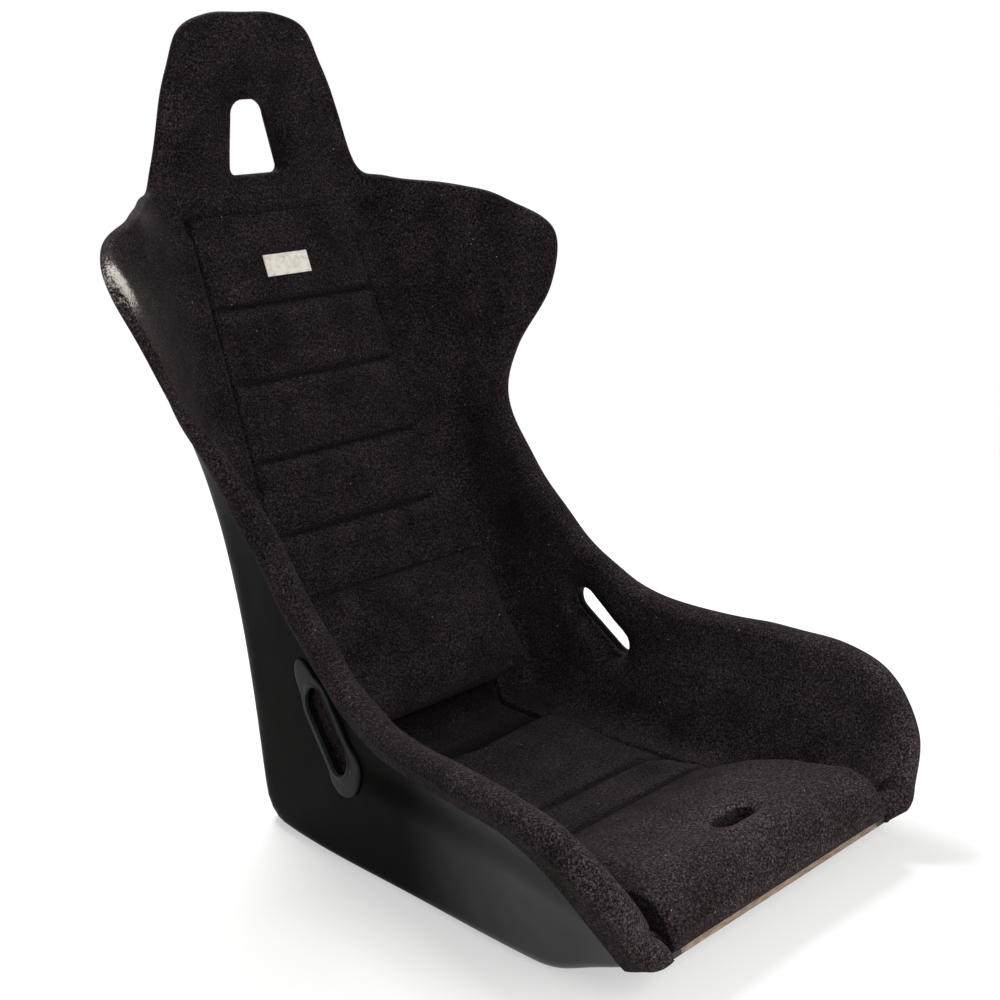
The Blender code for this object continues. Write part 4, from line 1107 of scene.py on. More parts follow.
    def cover(self, first: int, last: int, from_centre: bool, lip_reach: float,
              lip_foam: float) -> tuple[Array, Array]:
        """Front and back grids of a soft cover between two rings.

        Both run from the edge by the pads, round the bend, up the wall, over the rim on a half
        circle and down to the lip; the front stands off by the foam and the back lies on the shell.

        Args:
            first: first ring.
            last: last ring.
            from_centre: start at the centre line and not at the pad's edge.
            lip_reach: length of the lip from the top of the rim.
            lip_foam: how far the lip's outside stands off the shell.

        Returns:
            The two grids.
        """
        floors, bends, walls, rolls, lips = self.COVER_STEPS
        steps = np.linspace(0.0, 1.0, floors + 1) if from_centre else np.array([1.0])
        foot = self.centre[:, None] + self.out[:, None] * (self.edge[:, None] * steps)[..., None]
        start, corner, rim, cut = self.controls(-self.TRIM_GAP)
        under = self.bend_and_wall(start, corner, rim, cut, bends, walls, True)
        lift = np.concatenate([np.linspace(1.0, 0.0, bends + 1), np.zeros(walls)])
        raised = (self.bed - self.TRIM_GAP)[:, None, None] * self.inward[:, None] * lift[None, :, None]
        thin = self.over_rim(self.form.shell_wall / 2.0 + self.TRIM_GAP, rolls)
        growth = smooth_step(self.form.on_pan(self.LONG_LIP[0]), self.form.on_ramp(self.LONG_LIP[1]), self.run)
        reach = lip_reach * (1.0 + self.LIP_GROWTH * growth) - self.roll
        back = np.concatenate([
            foot + self.bed[:, None, None] * self.inward[:, None], under + raised, thin[:, 1:],
            self.lip(self.form.shell_wall + self.LIP_GAP, reach, thin[:, -1], lips)], axis=1)
        thick = self.over_rim(self.roll, rolls)
        soft_start = self.centre + self.inward * self.foam[:, None]
        front = np.concatenate([
            foot + self.foam[:, None, None] * self.inward[:, None],
            self.bend_and_wall(soft_start, self.soft_corner, thick[:, 0], self.soft_bend, bends, walls, False),
            thick[:, 1:],
            self.lip(self.form.shell_wall + lip_foam, reach, thick[:, -1], lips)], axis=1)
        return front[first:last + 1], back[first:last + 1]


FORM = SeatForm()


def back_frame(height: float) -> tuple[Array, Array, Array]:
    """Point on the inside of the back at a height, and its up and forward directions.

    Args:
        height: height on the back.

    Returns:
        The point and the two directions.
    """
    points, ways = FORM.spine(FORM.up_back(height))
    up = np.array([0.0, -ways[0, 0], -ways[0, 1]])
    forward = np.array([0.0, ways[0, 1], -ways[0, 0]])
    return np.array([0.0, *points[0]]), up, forward


def strip_grid(runs: Array, across: Array) -> tuple[Array, Array, Array]:
    """Grid on the inside of the shell for a strip between the side covers.

    Args:
        runs: lengths along the centre line.
        across: places across, from -1 at the right edge to 1 at the left one.

    Returns:
        Points, directions off the shell, and half-widths of the strip.
    """
    points, ways = FORM.spine(runs)
    half = FORM.pad_half(runs)[:, None] - CLEARANCE
    x = half * across
    base = np.stack([x, *(np.broadcast_to(side[:, None], x.shape) for side in points.T)], -1)
    inward = np.column_stack([np.zeros(len(ways)), ways[:, 1], -ways[:, 0]])
    return base, inward[:, None], half


def along_grid(grid: Array, axis: int) -> Array:
    """Length along a grid's rows or columns from its first line, at every point.

    Args:
        grid: grid of points.
        axis: 0 to go down the rows, 1 to go along the columns.

    Returns:
        A length for each point.
    """
    steps = np.linalg.norm(np.diff(grid, axis=axis), axis=-1)
    lead = np.zeros((1, grid.shape[1]) if axis == 0 else (grid.shape[0], 1))
    return np.concatenate([lead, np.cumsum(steps, axis=axis)], axis=axis)


def mark_wear_and_painted_light(piece: Piece, wear: Array) -> None:
    """Store each point's mark: rubbed pile and painted highlight above zero, pulled pile and painted shade
    below.
    """
    layer = piece.data.attributes.new(WEAR_AND_PAINTED_LIGHT, "FLOAT", "POINT")
    layer.data.foreach_set("value", wear.astype(np.float32))


def sunk(front: Array, back: Array, depth: Array, share: float = 0.85) -> Array:
    """Front grid moved towards the back one by a depth, through a share of the thickness at most.

    Args:
        front: front grid.
        back: back grid.
        depth: depth at each point.
        share: largest share of the thickness.

    Returns:
        The moved front grid.
    """
    gap = back - front
    thickness = np.linalg.norm(gap, axis=-1)
    return front + unit(gap) * np.minimum(depth, share * thickness)[..., None]


# Sub-assemblies


@dataclass
class BeltOpenings:
    """Outlines of the openings for the shoulder, lap and crotch belts."""

    harness_above_pad: float = 0.050
    harness_length: float = 0.084
    harness_low_half: float = 0.042
    harness_top_half: float = 0.030
    harness_corner: float = 0.018
    harness_foot: float = 0.009
    lap_length: float = 0.094
    lap_width: float = 0.034
    lap_place: float = 1.29
    lap_drop: float = 0.065
    lap_turn: float = math.radians(6.4)
    crotch_length: float = 0.070
    crotch_width: float = 0.028
    crotch_y: float = -0.322
    reach: float = 1.0

    def harness(self, border: float = 0.0, tuck: float = 0.0) -> Array:
        """Outline (x, z) of the headrest opening: a tapered window, its foot narrower by the tuck.

        Args:
            border: how much wider the outline is all round.
            tuck: how much narrower its foot is on each side.

        Returns:
            Points of the outline in order.
        """
        low = FORM.pad_top + self.harness_above_pad - border
        top = low + self.harness_length + 2.0 * border
        foot, crown = self.harness_low_half + border - tuck, self.harness_top_half + border
        radius, small = self.harness_corner + border, self.harness_foot + border
        turn = np.linspace(0.0, math.pi / 2.0, 9)
        upper = np.column_stack([crown - radius + radius * np.cos(turn), top - radius + radius * np.sin(turn)])
        lower = np.column_stack([foot - small + small * np.sin(turn), low + small - small * np.cos(turn)])
        right = np.concatenate([lower, upper])
        return np.concatenate([right, right[::-1] * [-1.0, 1.0]])

    def lap_frame(self) -> tuple[Array, Array, Array]:
        """Middle (y, z) of the lap-belt slots and their directions along and across.

        Returns:
            The middle and the two directions.
        """
        climb = FORM.hip_rim(0.0) - FORM.hip_rim(1.0)
        slope = math.atan2(climb[1], climb[0])
        middle = FORM.hip_rim(self.lap_place) + self.lap_drop * np.array([math.sin(slope), -math.cos(slope)])
        tilt = slope + self.lap_turn
        along = np.array([math.cos(tilt), math.sin(tilt)])
        return middle, along, np.array([-along[1], along[0]])

    def lap(self) -> Array:
        """Outline (y, z) of a lap-belt slot."""
        middle, along, over = self.lap_frame()
        return middle + stadium(self.lap_length, self.lap_width) @ np.array([along, over])

    def crotch(self, inset: float = 0.0, tuck: float = 0.0) -> Array:
        """Outline (x, y) of the crotch-belt slot, narrowed all round and again at its two ends."""
        length, width = self.crotch_length - 2.0 * (inset + tuck), self.crotch_width - 2.0 * inset
        return stadium(length, width) + [0.0, self.crotch_y]

    def harness_prism(self, border: float = 0.0, tuck: float = 0.0) -> Solid:
        """Prism through the headrest opening, widened by a border."""
        return prism_between(self.harness(border, tuck), np.zeros(3), ACROSS, UP, self.reach * REARWARD)

    def lap_prism(self) -> Solid:
        """Prism through both lap-belt slots."""
        return prism_between(self.lap(), -0.5 * self.reach * ACROSS, REARWARD, UP, self.reach * ACROSS)

    def crotch_prism(self, inset: float = 0.0, tuck: float = 0.0) -> Solid:
        """Prism through the crotch-belt slot."""
        outline, start = self.crotch(inset, tuck), -0.5 * self.reach * UP
        return prism_between(outline, start, ACROSS, REARWARD, self.reach * UP)


OPENINGS = BeltOpenings()


def dress(piece: Piece, body: Body, slot: Slot, *nodes: str) -> None:
    """Let a piece ride on its body and stand for its solids.

    Args:
        piece: piece to dress.
        body: body that it moves with.
        slot: its material slot; not used.
        nodes: solids that it stands for.
    """
    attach(piece, body.value)
    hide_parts(*nodes)
    LOG.info("%s: %d faces on %s", piece.name, len(piece.data.polygons), body.value)


@dataclass
class Shell:
    """One-piece laminate moulding with sawn openings and a bare sawn edge at the front lip."""

    steps: int = 8
    sharp: float = 40.0
    bore_radius: float = 0.0061
    bore_facets: int = 24
    bore_start: float = -0.01
    bore_length: float = 0.03
    mount_half: float = 0.145
    mount_rows: tuple = (-0.230, 0.050)
    raw_half: float = 0.150
    raw_depth: float = 0.004
    raw_facing: float = 0.7

    def build(self) -> None:
        """Build the moulding between two offset surfaces and saw its openings."""
        rings = Rings(FORM, self.steps)
        half = closed_between(rings.shell(0.0), rings.shell(FORM.shell_wall))
        piece = add_piece("shell_moulding", mirrored(*half), LAMINATE.material(), self.sharp, drop_centre=True)
        self.bare_lip(piece.data)
        for prism in (OPENINGS.harness_prism(), OPENINGS.lap_prism(), OPENINGS.crotch_prism()):
            carve(piece, prism, LAMINATE.material())
        turn = np.arange(self.bore_facets) * 2.0 * math.pi / self.bore_facets
        bore = self.bore_radius * np.column_stack([np.cos(turn), np.sin(turn)])
        start = self.bore_start * UP
        for x in (-self.mount_half, self.mount_half):
            for y in self.mount_rows:
                hole = prism_between(bore + [x, y], start, ACROSS, REARWARD, self.bore_length * UP)
                carve(piece, hole, RAW_EDGE.material())
        dress(piece, Body.SEAT, Slot.LAMINATE, "shell")

    def bare_lip(self, mesh: Mesh) -> None:
        """Give the faces of the front lip that face along the ramp the finish of a sawn edge.

        Args:
            mesh: mesh of the moulding.
        """
        mesh.materials.append(RAW_EDGE.material())
        centres, facing = vectors_of(mesh.polygons, "center"), vectors_of(mesh.polygons, "normal")
        raw = facing @ np.array([0.0, *unit(FORM.ramp)]) > self.raw_facing
        raw &= np.abs(centres[:, 0]) < self.raw_half
        raw &= centres[:, 1] < FORM.front_lip + self.raw_depth
        mesh.polygons.foreach_set("material_index", raw.astype(np.int32))


@dataclass
class Covers:
    """Velour over foam that is glued to the shell: the headrest and the two sides."""

    steps: int = 20
    neck_station: int = 5
    last_station: float = 22.6
    side_lip: float = 0.040
    head_lip: float = 0.022
    lip_foam: float = 0.004
    hole_inset: float = 0.001
    hole_tuck: float = 0.005
    hole_radius: float = 0.008
    slot_radius: float = 0.022
    edge_radius: float = 0.0025
    seam_radius: float = 0.0012
    seam_fade: tuple = (0.9, 1.25)
    end_bulge: float = 0.016
    end_inner: float = 0.8
    end_steps: int = 12
    end_close: float = 0.97
    stride: int = 4
    hem_radius: float = 0.0026
    crest_wear: float = 0.12
    crest_wear_width: float = 0.020
    # How much the crest mark grows towards the front lip.
    front_rise: float = 0.26
    # Painted highlight on the tip of the right wing: its strength here, its centre and size below.
    glint_strength: float = 1.5
    front_from: float = -0.20
    glint_centre: tuple = (-0.273, 0.178, 0.578)
    glint_size: tuple = (0.026, 0.026, 0.036)

    def build(self) -> None:
        """Build the headrest and the sides."""
        rings = Rings(FORM, self.steps)
        self.headrest(rings)
        self.sides(rings)

    def headrest(self, rings: Rings) -> None:
        """Headrest: rounded round the belt opening and along the seam with the back pad.

        Args:
            rings: rings that the cover follows.
        """
        neck = self.neck_station * self.steps
        front, back = rings.cover(0, neck, True, self.head_lip, self.lip_foam)
        across, down = along_grid(front, 1), along_grid(front[::-1], 0)[::-1]
        hole = outline_distance(front[..., [0, 2]], OPENINGS.harness(-self.hole_inset, self.hole_tuck))
        hole = np.where(front[..., 1] < FORM.headrest_back, soft_over(hole, self.hole_radius), 0.0)
        inner = 1.0 - smooth_step(*self.seam_fade, across / rings.edge[:neck + 1, None])
        front = self.softened(front, back, hole, round_over(down, self.seam_radius) * inner)
        prism = OPENINGS.harness_prism(-self.hole_inset, self.hole_tuck)
        solid = mirrored(*closed_between(front, back))
        self.fit("headrest_cover", solid, prism, rings, "headrest_pad")

    def sides(self, rings: Rings) -> None:
        """Side covers: rounded along the pads and round the lap-belt slot, with plump front ends.

        Args:
            rings: rings that the cover follows.
        """
        first, last = self.neck_station * self.steps, round(self.last_station * self.steps)
        front, back = rings.cover(first, last, False, self.side_lip, self.lip_foam)
        edge = round_over(along_grid(front, 1), self.edge_radius)
        slot = soft_over(outline_distance(front[..., 1:], OPENINGS.lap()), self.slot_radius)
        front = self.softened(front, back, edge, slot)
        points, faces = closed_between(*self.capped(front, back, rings, last))
        for name, hand in HANDS:
            solid = (points * [hand, 1.0, 1.0], faces)
            self.fit(f"side_cover_{name}", solid, OPENINGS.lap_prism(), rings, f"side_trim_{name}")

    def softened(self, front: Array, back: Array, *depths: Array) -> Array:
        """Front grid sunk by the deepest of its edges and its hem, and by the ripples of the cloth.

        Args:
            front: front grid.
            back: back grid.
            depths: depths of its edges.

        Returns:
            The sunk front grid.
        """
        across = along_grid(front, 1)
        depth = np.maximum.reduce([round_over(across[:, -1:] - across, self.hem_radius), *depths])
        return sunk(front, back, depth + ripples(front, *COVER_RIPPLE))

    def fit(self, name: str, solid: Solid, prism: Solid, rings: Rings, node: str) -> None:
        """Cut the belt opening of a cover, mark its wear and painted highlight, and put it on the seat.

        Args:
            name: name of the piece.
            solid: points and faces of the cover.
            prism: points and faces of the opening.
            rings: rings that the cover follows.
            node: solid that the cover stands for.
        """
        piece = add_piece(name, solid, VELOUR.material(), drop_centre=node == "headrest_pad")
        carve(piece, prism, VELOUR.material())
        self.rub(piece, rings)
        dress(piece, Body.SEAT, Slot.VELOUR, node)

    def capped(self, front: Array, back: Array, rings: Rings, last: int) -> list[Array]:
        """Both grids with a domed end: a quarter of an ellipse that closes on the middle of the roll.

        The dome carries on the way that the rim goes there, and the inner grid's is shallower.

        Args:
            front: front grid.
            back: back grid.
            rings: rings that the cover follows.
            last: ring that the grids end on.

        Returns:
            The two longer grids.
        """
        turn = np.linspace(0.0, self.end_close * math.pi / 2.0, self.end_steps)[1:, None, None]
        middle = rings.crest[last] - rings.wall[last] * rings.roll[last]
        ahead = unit(rings.crest[last] - rings.crest[last - self.stride])
        grown = []
        for grid, bulge in ((front, self.end_bulge), (back, self.end_inner * self.end_bulge)):
            dome = middle + (grid[-1] - middle) * np.cos(turn) + bulge * np.sin(turn) * ahead
            grown.append(np.concatenate([grid, dome]))
        return grown

    def rub(self, piece: Piece, rings: Rings) -> None:
        """Mark a bell curve along the rim's crest, growing towards the front, and a painted highlight on the
        right wing's tip.

        Args:
            piece: cover to mark.
            rings: rings that the cover follows.
        """
        points = vectors_of(piece.data.vertices)
        halves = np.column_stack([np.abs(points[:, 0]), points[:, 1:]])
        gaps = np.linalg.norm(halves[:, None] - rings.crest[None, ::self.stride], axis=-1).min(1)
        ahead = smooth_step(self.front_from, FORM.front_lip, points[:, 1])
        edge = (self.crest_wear + ahead * self.front_rise) * bell(gaps, self.crest_wear_width)
        # Painted highlight: a pale patch about the tip of the right wing.
        away = (points - np.array(self.glint_centre)) / np.array(self.glint_size)
        mark_wear_and_painted_light(piece, edge + self.glint_strength * np.exp(-(away**2).sum(1)))


@dataclass
class BackPad:
    """Flat foam back pad with sewn cross lines, low enough for the lumbar strips, and its bare label."""

    rows: int = 360
    columns: int = 72
    thickness: float = 0.0302
    crown: float = 0.0022
    groove: float = 0.0047
    groove_above: float = 0.0028
    groove_below: float = 0.0100
    groove_fade: float = 0.78
    edge_radius: float = 0.0025
    seam_radius: float = 0.0012
    sewn_heights: tuple = (0.507, 0.427, 0.345, 0.266)
    slide_room: float = 0.0321
    seam_shade_half: float = 0.0030
    seam_reach: float = 0.118
    seam_fade: float = 0.80
    # Pulled pile and painted shade on each sewn line, and a painted highlight on the panel's lip below it.
    pull_and_shade: float = 0.50
    rub: float = 0.14
    lit_lip_drop: float = 0.009
    lit_lip_half: float = 0.007
    label_drop: float = 0.059
    label_width: float = 0.060
    label_length: float = 0.025
    label_thickness: float = 0.0009
    label_lift: float = 0.0004
    label_edge: float = 0.0006
    label_fold: tuple = (0.055, 0.075)
    label_grid: tuple = (141, 61)
    stitch_inset: float = 0.0024
    stitch_half: float = 0.0006
    stitch_depth: float = 0.0005
    stitch_length: float = 0.0030

    def front_offset(self, height: Array, x: Array, half: Array) -> Array:
        """Height of the pad's front above the shell.

        Panels between the sewn lines are crowned as half a sine, each line is a narrow valley with
        a steep upper side, and the outer edges are quarter circles.

        Args:
            height: heights on the back.
            x: places across.
            half: half-widths of the pad there.

        Returns:
            Offsets from the inside of the shell.
        """
        lines = np.array([FORM.pad_top, *self.sewn_heights, FORM.pad_low_height])
        upper = np.clip(np.searchsorted(-lines, -height, side="right") - 1, 0, len(lines) - 2)
        share = (lines[upper] - height) / (lines[upper] - lines[upper + 1])
        bulge = self.crown * np.sin(math.pi * np.clip(share, 0.0, 1.0)) ** 0.7
        away = np.array(self.sewn_heights) - height[..., None]
        valley = self.groove * bell(away, np.where(away > 0.0, self.groove_below, self.groove_above)).max(-1)
        fade = 1.0 - smooth_step(self.groove_fade, 1.0, np.abs(x) / half)
        drop = np.maximum(round_over(half - np.abs(x), self.edge_radius),
                          round_over(FORM.pad_top - height, self.seam_radius))
        return self.thickness + (bulge - valley) * fade - drop

    def build(self) -> None:
        """Build the pad and its label."""
        heights = np.linspace(FORM.pad_top - END_TRIM, FORM.pad_low_height + END_TRIM, self.rows)
        turn = np.linspace(-math.pi / 2.0, math.pi / 2.0, self.columns)
        base, forward, half = strip_grid(FORM.up_back(heights), np.sin(turn) * 0.5 + turn / math.pi)
        x = base[..., 0]
        lift = self.front_offset(np.broadcast_to(heights[:, None], x.shape), x, half)
        lift = np.minimum(lift - ripples(base, *PAD_RIPPLE), self.slide_room)
        solid = closed_between(base + forward * lift[..., None], base + forward * BED)
        piece = add_piece("back_cushion", solid, VELOUR.material())
        self.sew(piece)
        dress(piece, Body.SEAT, Slot.VELOUR, "back_pad")
        self.label()

    def sew(self, piece: Piece) -> None:
        """Mark bell curves: pulled pile and painted shade on each sewn line, a wider painted highlight below
        it.

        Args:
            piece: the pad.
        """
        points = vectors_of(piece.data.vertices)
        origin, up, _ = back_frame(FORM.pad_low_height)
        height = origin[2] + (points - origin) @ up * up[2]
        away = np.array(self.sewn_heights)[None] - height[:, None]
        line = bell(away, self.seam_shade_half).max(1)
        below = bell(away - self.lit_lip_drop, self.lit_lip_half).max(1)
        fade = 1.0 - smooth_step(self.seam_fade, 1.0, np.abs(points[:, 0]) / self.seam_reach)
        # Painted shade with the pulled pile on each line, and a painted highlight just below it.
        mark_wear_and_painted_light(piece, (self.rub * below - self.pull_and_shade * line) * fade)

    def label(self) -> None:
        """Bare woven label, bent to the pad, with folded ends and a sewn line all round."""
        origin, up, forward = back_frame(FORM.pad_top - self.label_drop)
        u, v = (np.linspace(-0.5, 0.5, count) for count in self.label_grid)
        x, rise = np.meshgrid(u * self.label_width, v * self.label_length)
        height = origin[2] + rise * up[2]
        half = FORM.pad_half(FORM.up_back(height.ravel())).reshape(height.shape)
        lift = self.front_offset(height, x, half) + self.label_lift
        side = 0.5 - np.abs(x) / self.label_width
        hem = self.label_thickness * (0.75 + 0.5 * (1.0 - smooth_step(*self.label_fold, side)))
        edge = np.minimum(side * self.label_width, self.label_length / 2.0 - np.abs(rise))
        stitch = 0.5 + 0.5 * np.cos(2.0 * math.pi * (x + rise) / self.stitch_length)
        sewn = bell(edge - self.stitch_inset, self.stitch_half) * stitch
        hem = hem - round_over(edge, self.label_edge) - self.stitch_depth * sewn
        base = origin + x[..., None] * ACROSS + rise[..., None] * up
        back = base + lift[..., None] * forward
        solid = closed_between(back + hem[..., None] * forward, back)
        dress(add_piece("label_patch", solid, LABEL_CLOTH.material()), Body.SEAT, Slot.WOVEN, "label")


@dataclass
class HipLining:
    """Velour strip in the corner between the back and the pan, with painted shade at both ends where it tucks
    in.
    """

    rows: int = 60
    columns: int = 70
    thickness: float = 0.024
    edge_radius: float = 0.008
    # Painted shade at both tucked ends: how far it reaches, and how dark it is.
    shade_reach: float = 0.040
    pull_and_shade: float = 0.9

    def build(self) -> None:
        """Build the strip between two offsets of the centre line."""
        ends = FORM.up_back(FORM.pad_low_height), FORM.on_pan(FORM.cushion_rear) - END_TRIM
        turn = np.linspace(-math.pi / 2.0, math.pi / 2.0, self.columns)
        base, inward, half = strip_grid(np.linspace(*ends, self.rows), np.sin(turn))
        lift = self.thickness - round_over(half - np.abs(base[..., 0]), self.edge_radius)
        lift = lift - ripples(base, *PAD_RIPPLE)
        solid = closed_between(base + inward * lift[..., None], base + inward * BED)
        piece = add_piece("hip_cover", solid, VELOUR.material())
        y, z = vectors_of(piece.data.vertices)[:, 1:].T
        # Painted shade, darkest at both tucked ends and fading over its reach.
        ends = np.minimum(np.abs(y - FORM.cushion_rear), np.abs(z - FORM.pad_low_height))
        mark_wear_and_painted_light(piece, -self.pull_and_shade * (1.0 - smooth_step(0.0, self.shade_reach, ends)))
        dress(piece, Body.SEAT, Slot.VELOUR, "hip_lining")


@dataclass
class Stuffing:
    """How a loose cushion is blown up: a voxel remesh, then cloth under pressure, held underneath."""

    voxel: float
    cap: float
    pressure: float = 4.0
    frames: int = 20

    def fill(self, piece: Piece, held: Array) -> None:
        """Remesh a piece and swell it.

        Args:
            piece: closed piece, a little smaller than it should become.
            held: a point and a direction; points less than a voxel above that plane stay put.
        """
        settled(piece, "REMESH", mode="VOXEL", voxel_size=self.voxel)
        set_coordinates(piece.data, self.swollen(piece, held))
        settled(piece, "SUBSURF", levels=1, render_levels=1)
        piece.data.shade_smooth()

    def swollen(self, piece: Piece, held: Array) -> Array:
        """Points after the cloth has swollen, with no move longer than the cap.

        Args:
            piece: piece to swell.
            held: a point and a direction; points less than a voxel above that plane stay put.

        Returns:
            The moved points.
        """
        start = vectors_of(piece.data.vertices)
        low = (start - held[0]) @ held[1] < self.voxel
        group = piece.vertex_groups.new(name="held")
        group.add(np.nonzero(low)[0].tolist(), 1.0, "REPLACE")
        cloth = piece.modifiers.new("cloth", "CLOTH")
        settings = {"quality": 5, "mass": 0.3, "tension_stiffness": 15.0, "compression_stiffness": 15.0,
                    "bending_stiffness": 2.0, "use_pressure": True, "uniform_pressure_force": self.pressure,
                    "vertex_group_mass": "held"}
        for name, value in settings.items():
            setattr(cloth.settings, name, value)
        cloth.settings.effector_weights.gravity = 0.0
        cloth.collision_settings.use_collision = False
        scene = bpy.context.scene
        for step in range(1, self.frames + 1):
            scene.frame_set(step)
        grown = piece.evaluated_get(bpy.context.evaluated_depsgraph_get())
        moved = vectors_of(grown.to_mesh().vertices) - start
        grown.to_mesh_clear()
        piece.modifiers.clear()
        piece.vertex_groups.clear()
        scene.frame_set(1)
        length = np.linalg.norm(moved, axis=1, keepdims=True)
        return start + moved * np.minimum(1.0, self.cap / np.maximum(length, 1e-9))


@dataclass
class LumbarCushion:
    """Loose wedge cushion on the lower back, on two hook strips."""

    grid: tuple = (30, 60)
    half: float = 0.146
    low_flare: float = 0.011
    low_height: float = 0.050
    top_height: float = 0.201
    top_thickness: float = 0.018
    low_thickness: float = 0.044
    seat: float = 0.0351
    shrink: float = 0.004
    plump: float = 0.003
    corner_radius: float = 0.012
    # Darker sewn border round the edges, with painted shade in it.
    seam_inset: float = 0.001
    seam_shade_half: float = 0.0035
    pull_and_shade: float = 0.9
    stuffing: Stuffing = field(default_factory=lambda: Stuffing(voxel=0.0045, cap=0.006))

    def half_at(self, along: Array, length: float) -> Array:
        """Half-width at lengths up the cushion: flared towards the bottom, with round corners."""
        corners = round_over(along, self.corner_radius) + round_over(length - along, self.corner_radius)
        return self.half + (1.0 - along / length) * self.low_flare - corners

    def build(self) -> None:
        """Blow up the wedge, press its edges into a sewn border, and darken that border with painted shade."""
        low, up, forward = back_frame(self.low_height)
        top, _, _ = back_frame(self.top_height)
        length = float(np.linalg.norm(top - low))
        taper = self.top_thickness - self.low_thickness
        origin = low + self.seat * forward
        end = self.shrink / length
        s, u = np.meshgrid(np.linspace(end, 1.0 - end, self.grid[0]), np.linspace(-1.0, 1.0, self.grid[1]),
                           indexing="ij")
        half = self.half_at(s * length, length)
        base = origin + (s * length)[..., None] * up + (u * (half - self.shrink))[..., None] * ACROSS
        thickness = self.low_thickness + s * taper - self.shrink
        solid = closed_between(base + thickness[..., None] * forward, base)
        piece = add_piece("lumbar_cushion", solid, VELOUR.material())
        self.stuffing.fill(piece, np.array([origin, forward]))
        local = vectors_of(piece.data.vertices) - origin
        along = np.clip(local @ up, 0.0, length)
        half = self.half_at(along, length)
        across = np.clip(local[:, 0], -half, half)
        limit = self.low_thickness + local @ up / length * taper
        off = np.clip(local @ forward, 0.0, limit + self.plump)
        points = origin + across[:, None] * ACROSS + along[:, None] * up + off[:, None] * forward
        set_coordinates(piece.data, points)
        # Pulled pile of the sewn border and painted shade along every edge.
        edge = np.minimum(np.minimum(along, length - along), half - np.abs(across))
        mark_wear_and_painted_light(piece, -self.pull_and_shade * bell(edge - self.seam_inset, self.seam_shade_half))
        dress(piece, Body.LUMBAR, Slot.VELOUR, "lumbar_pad")


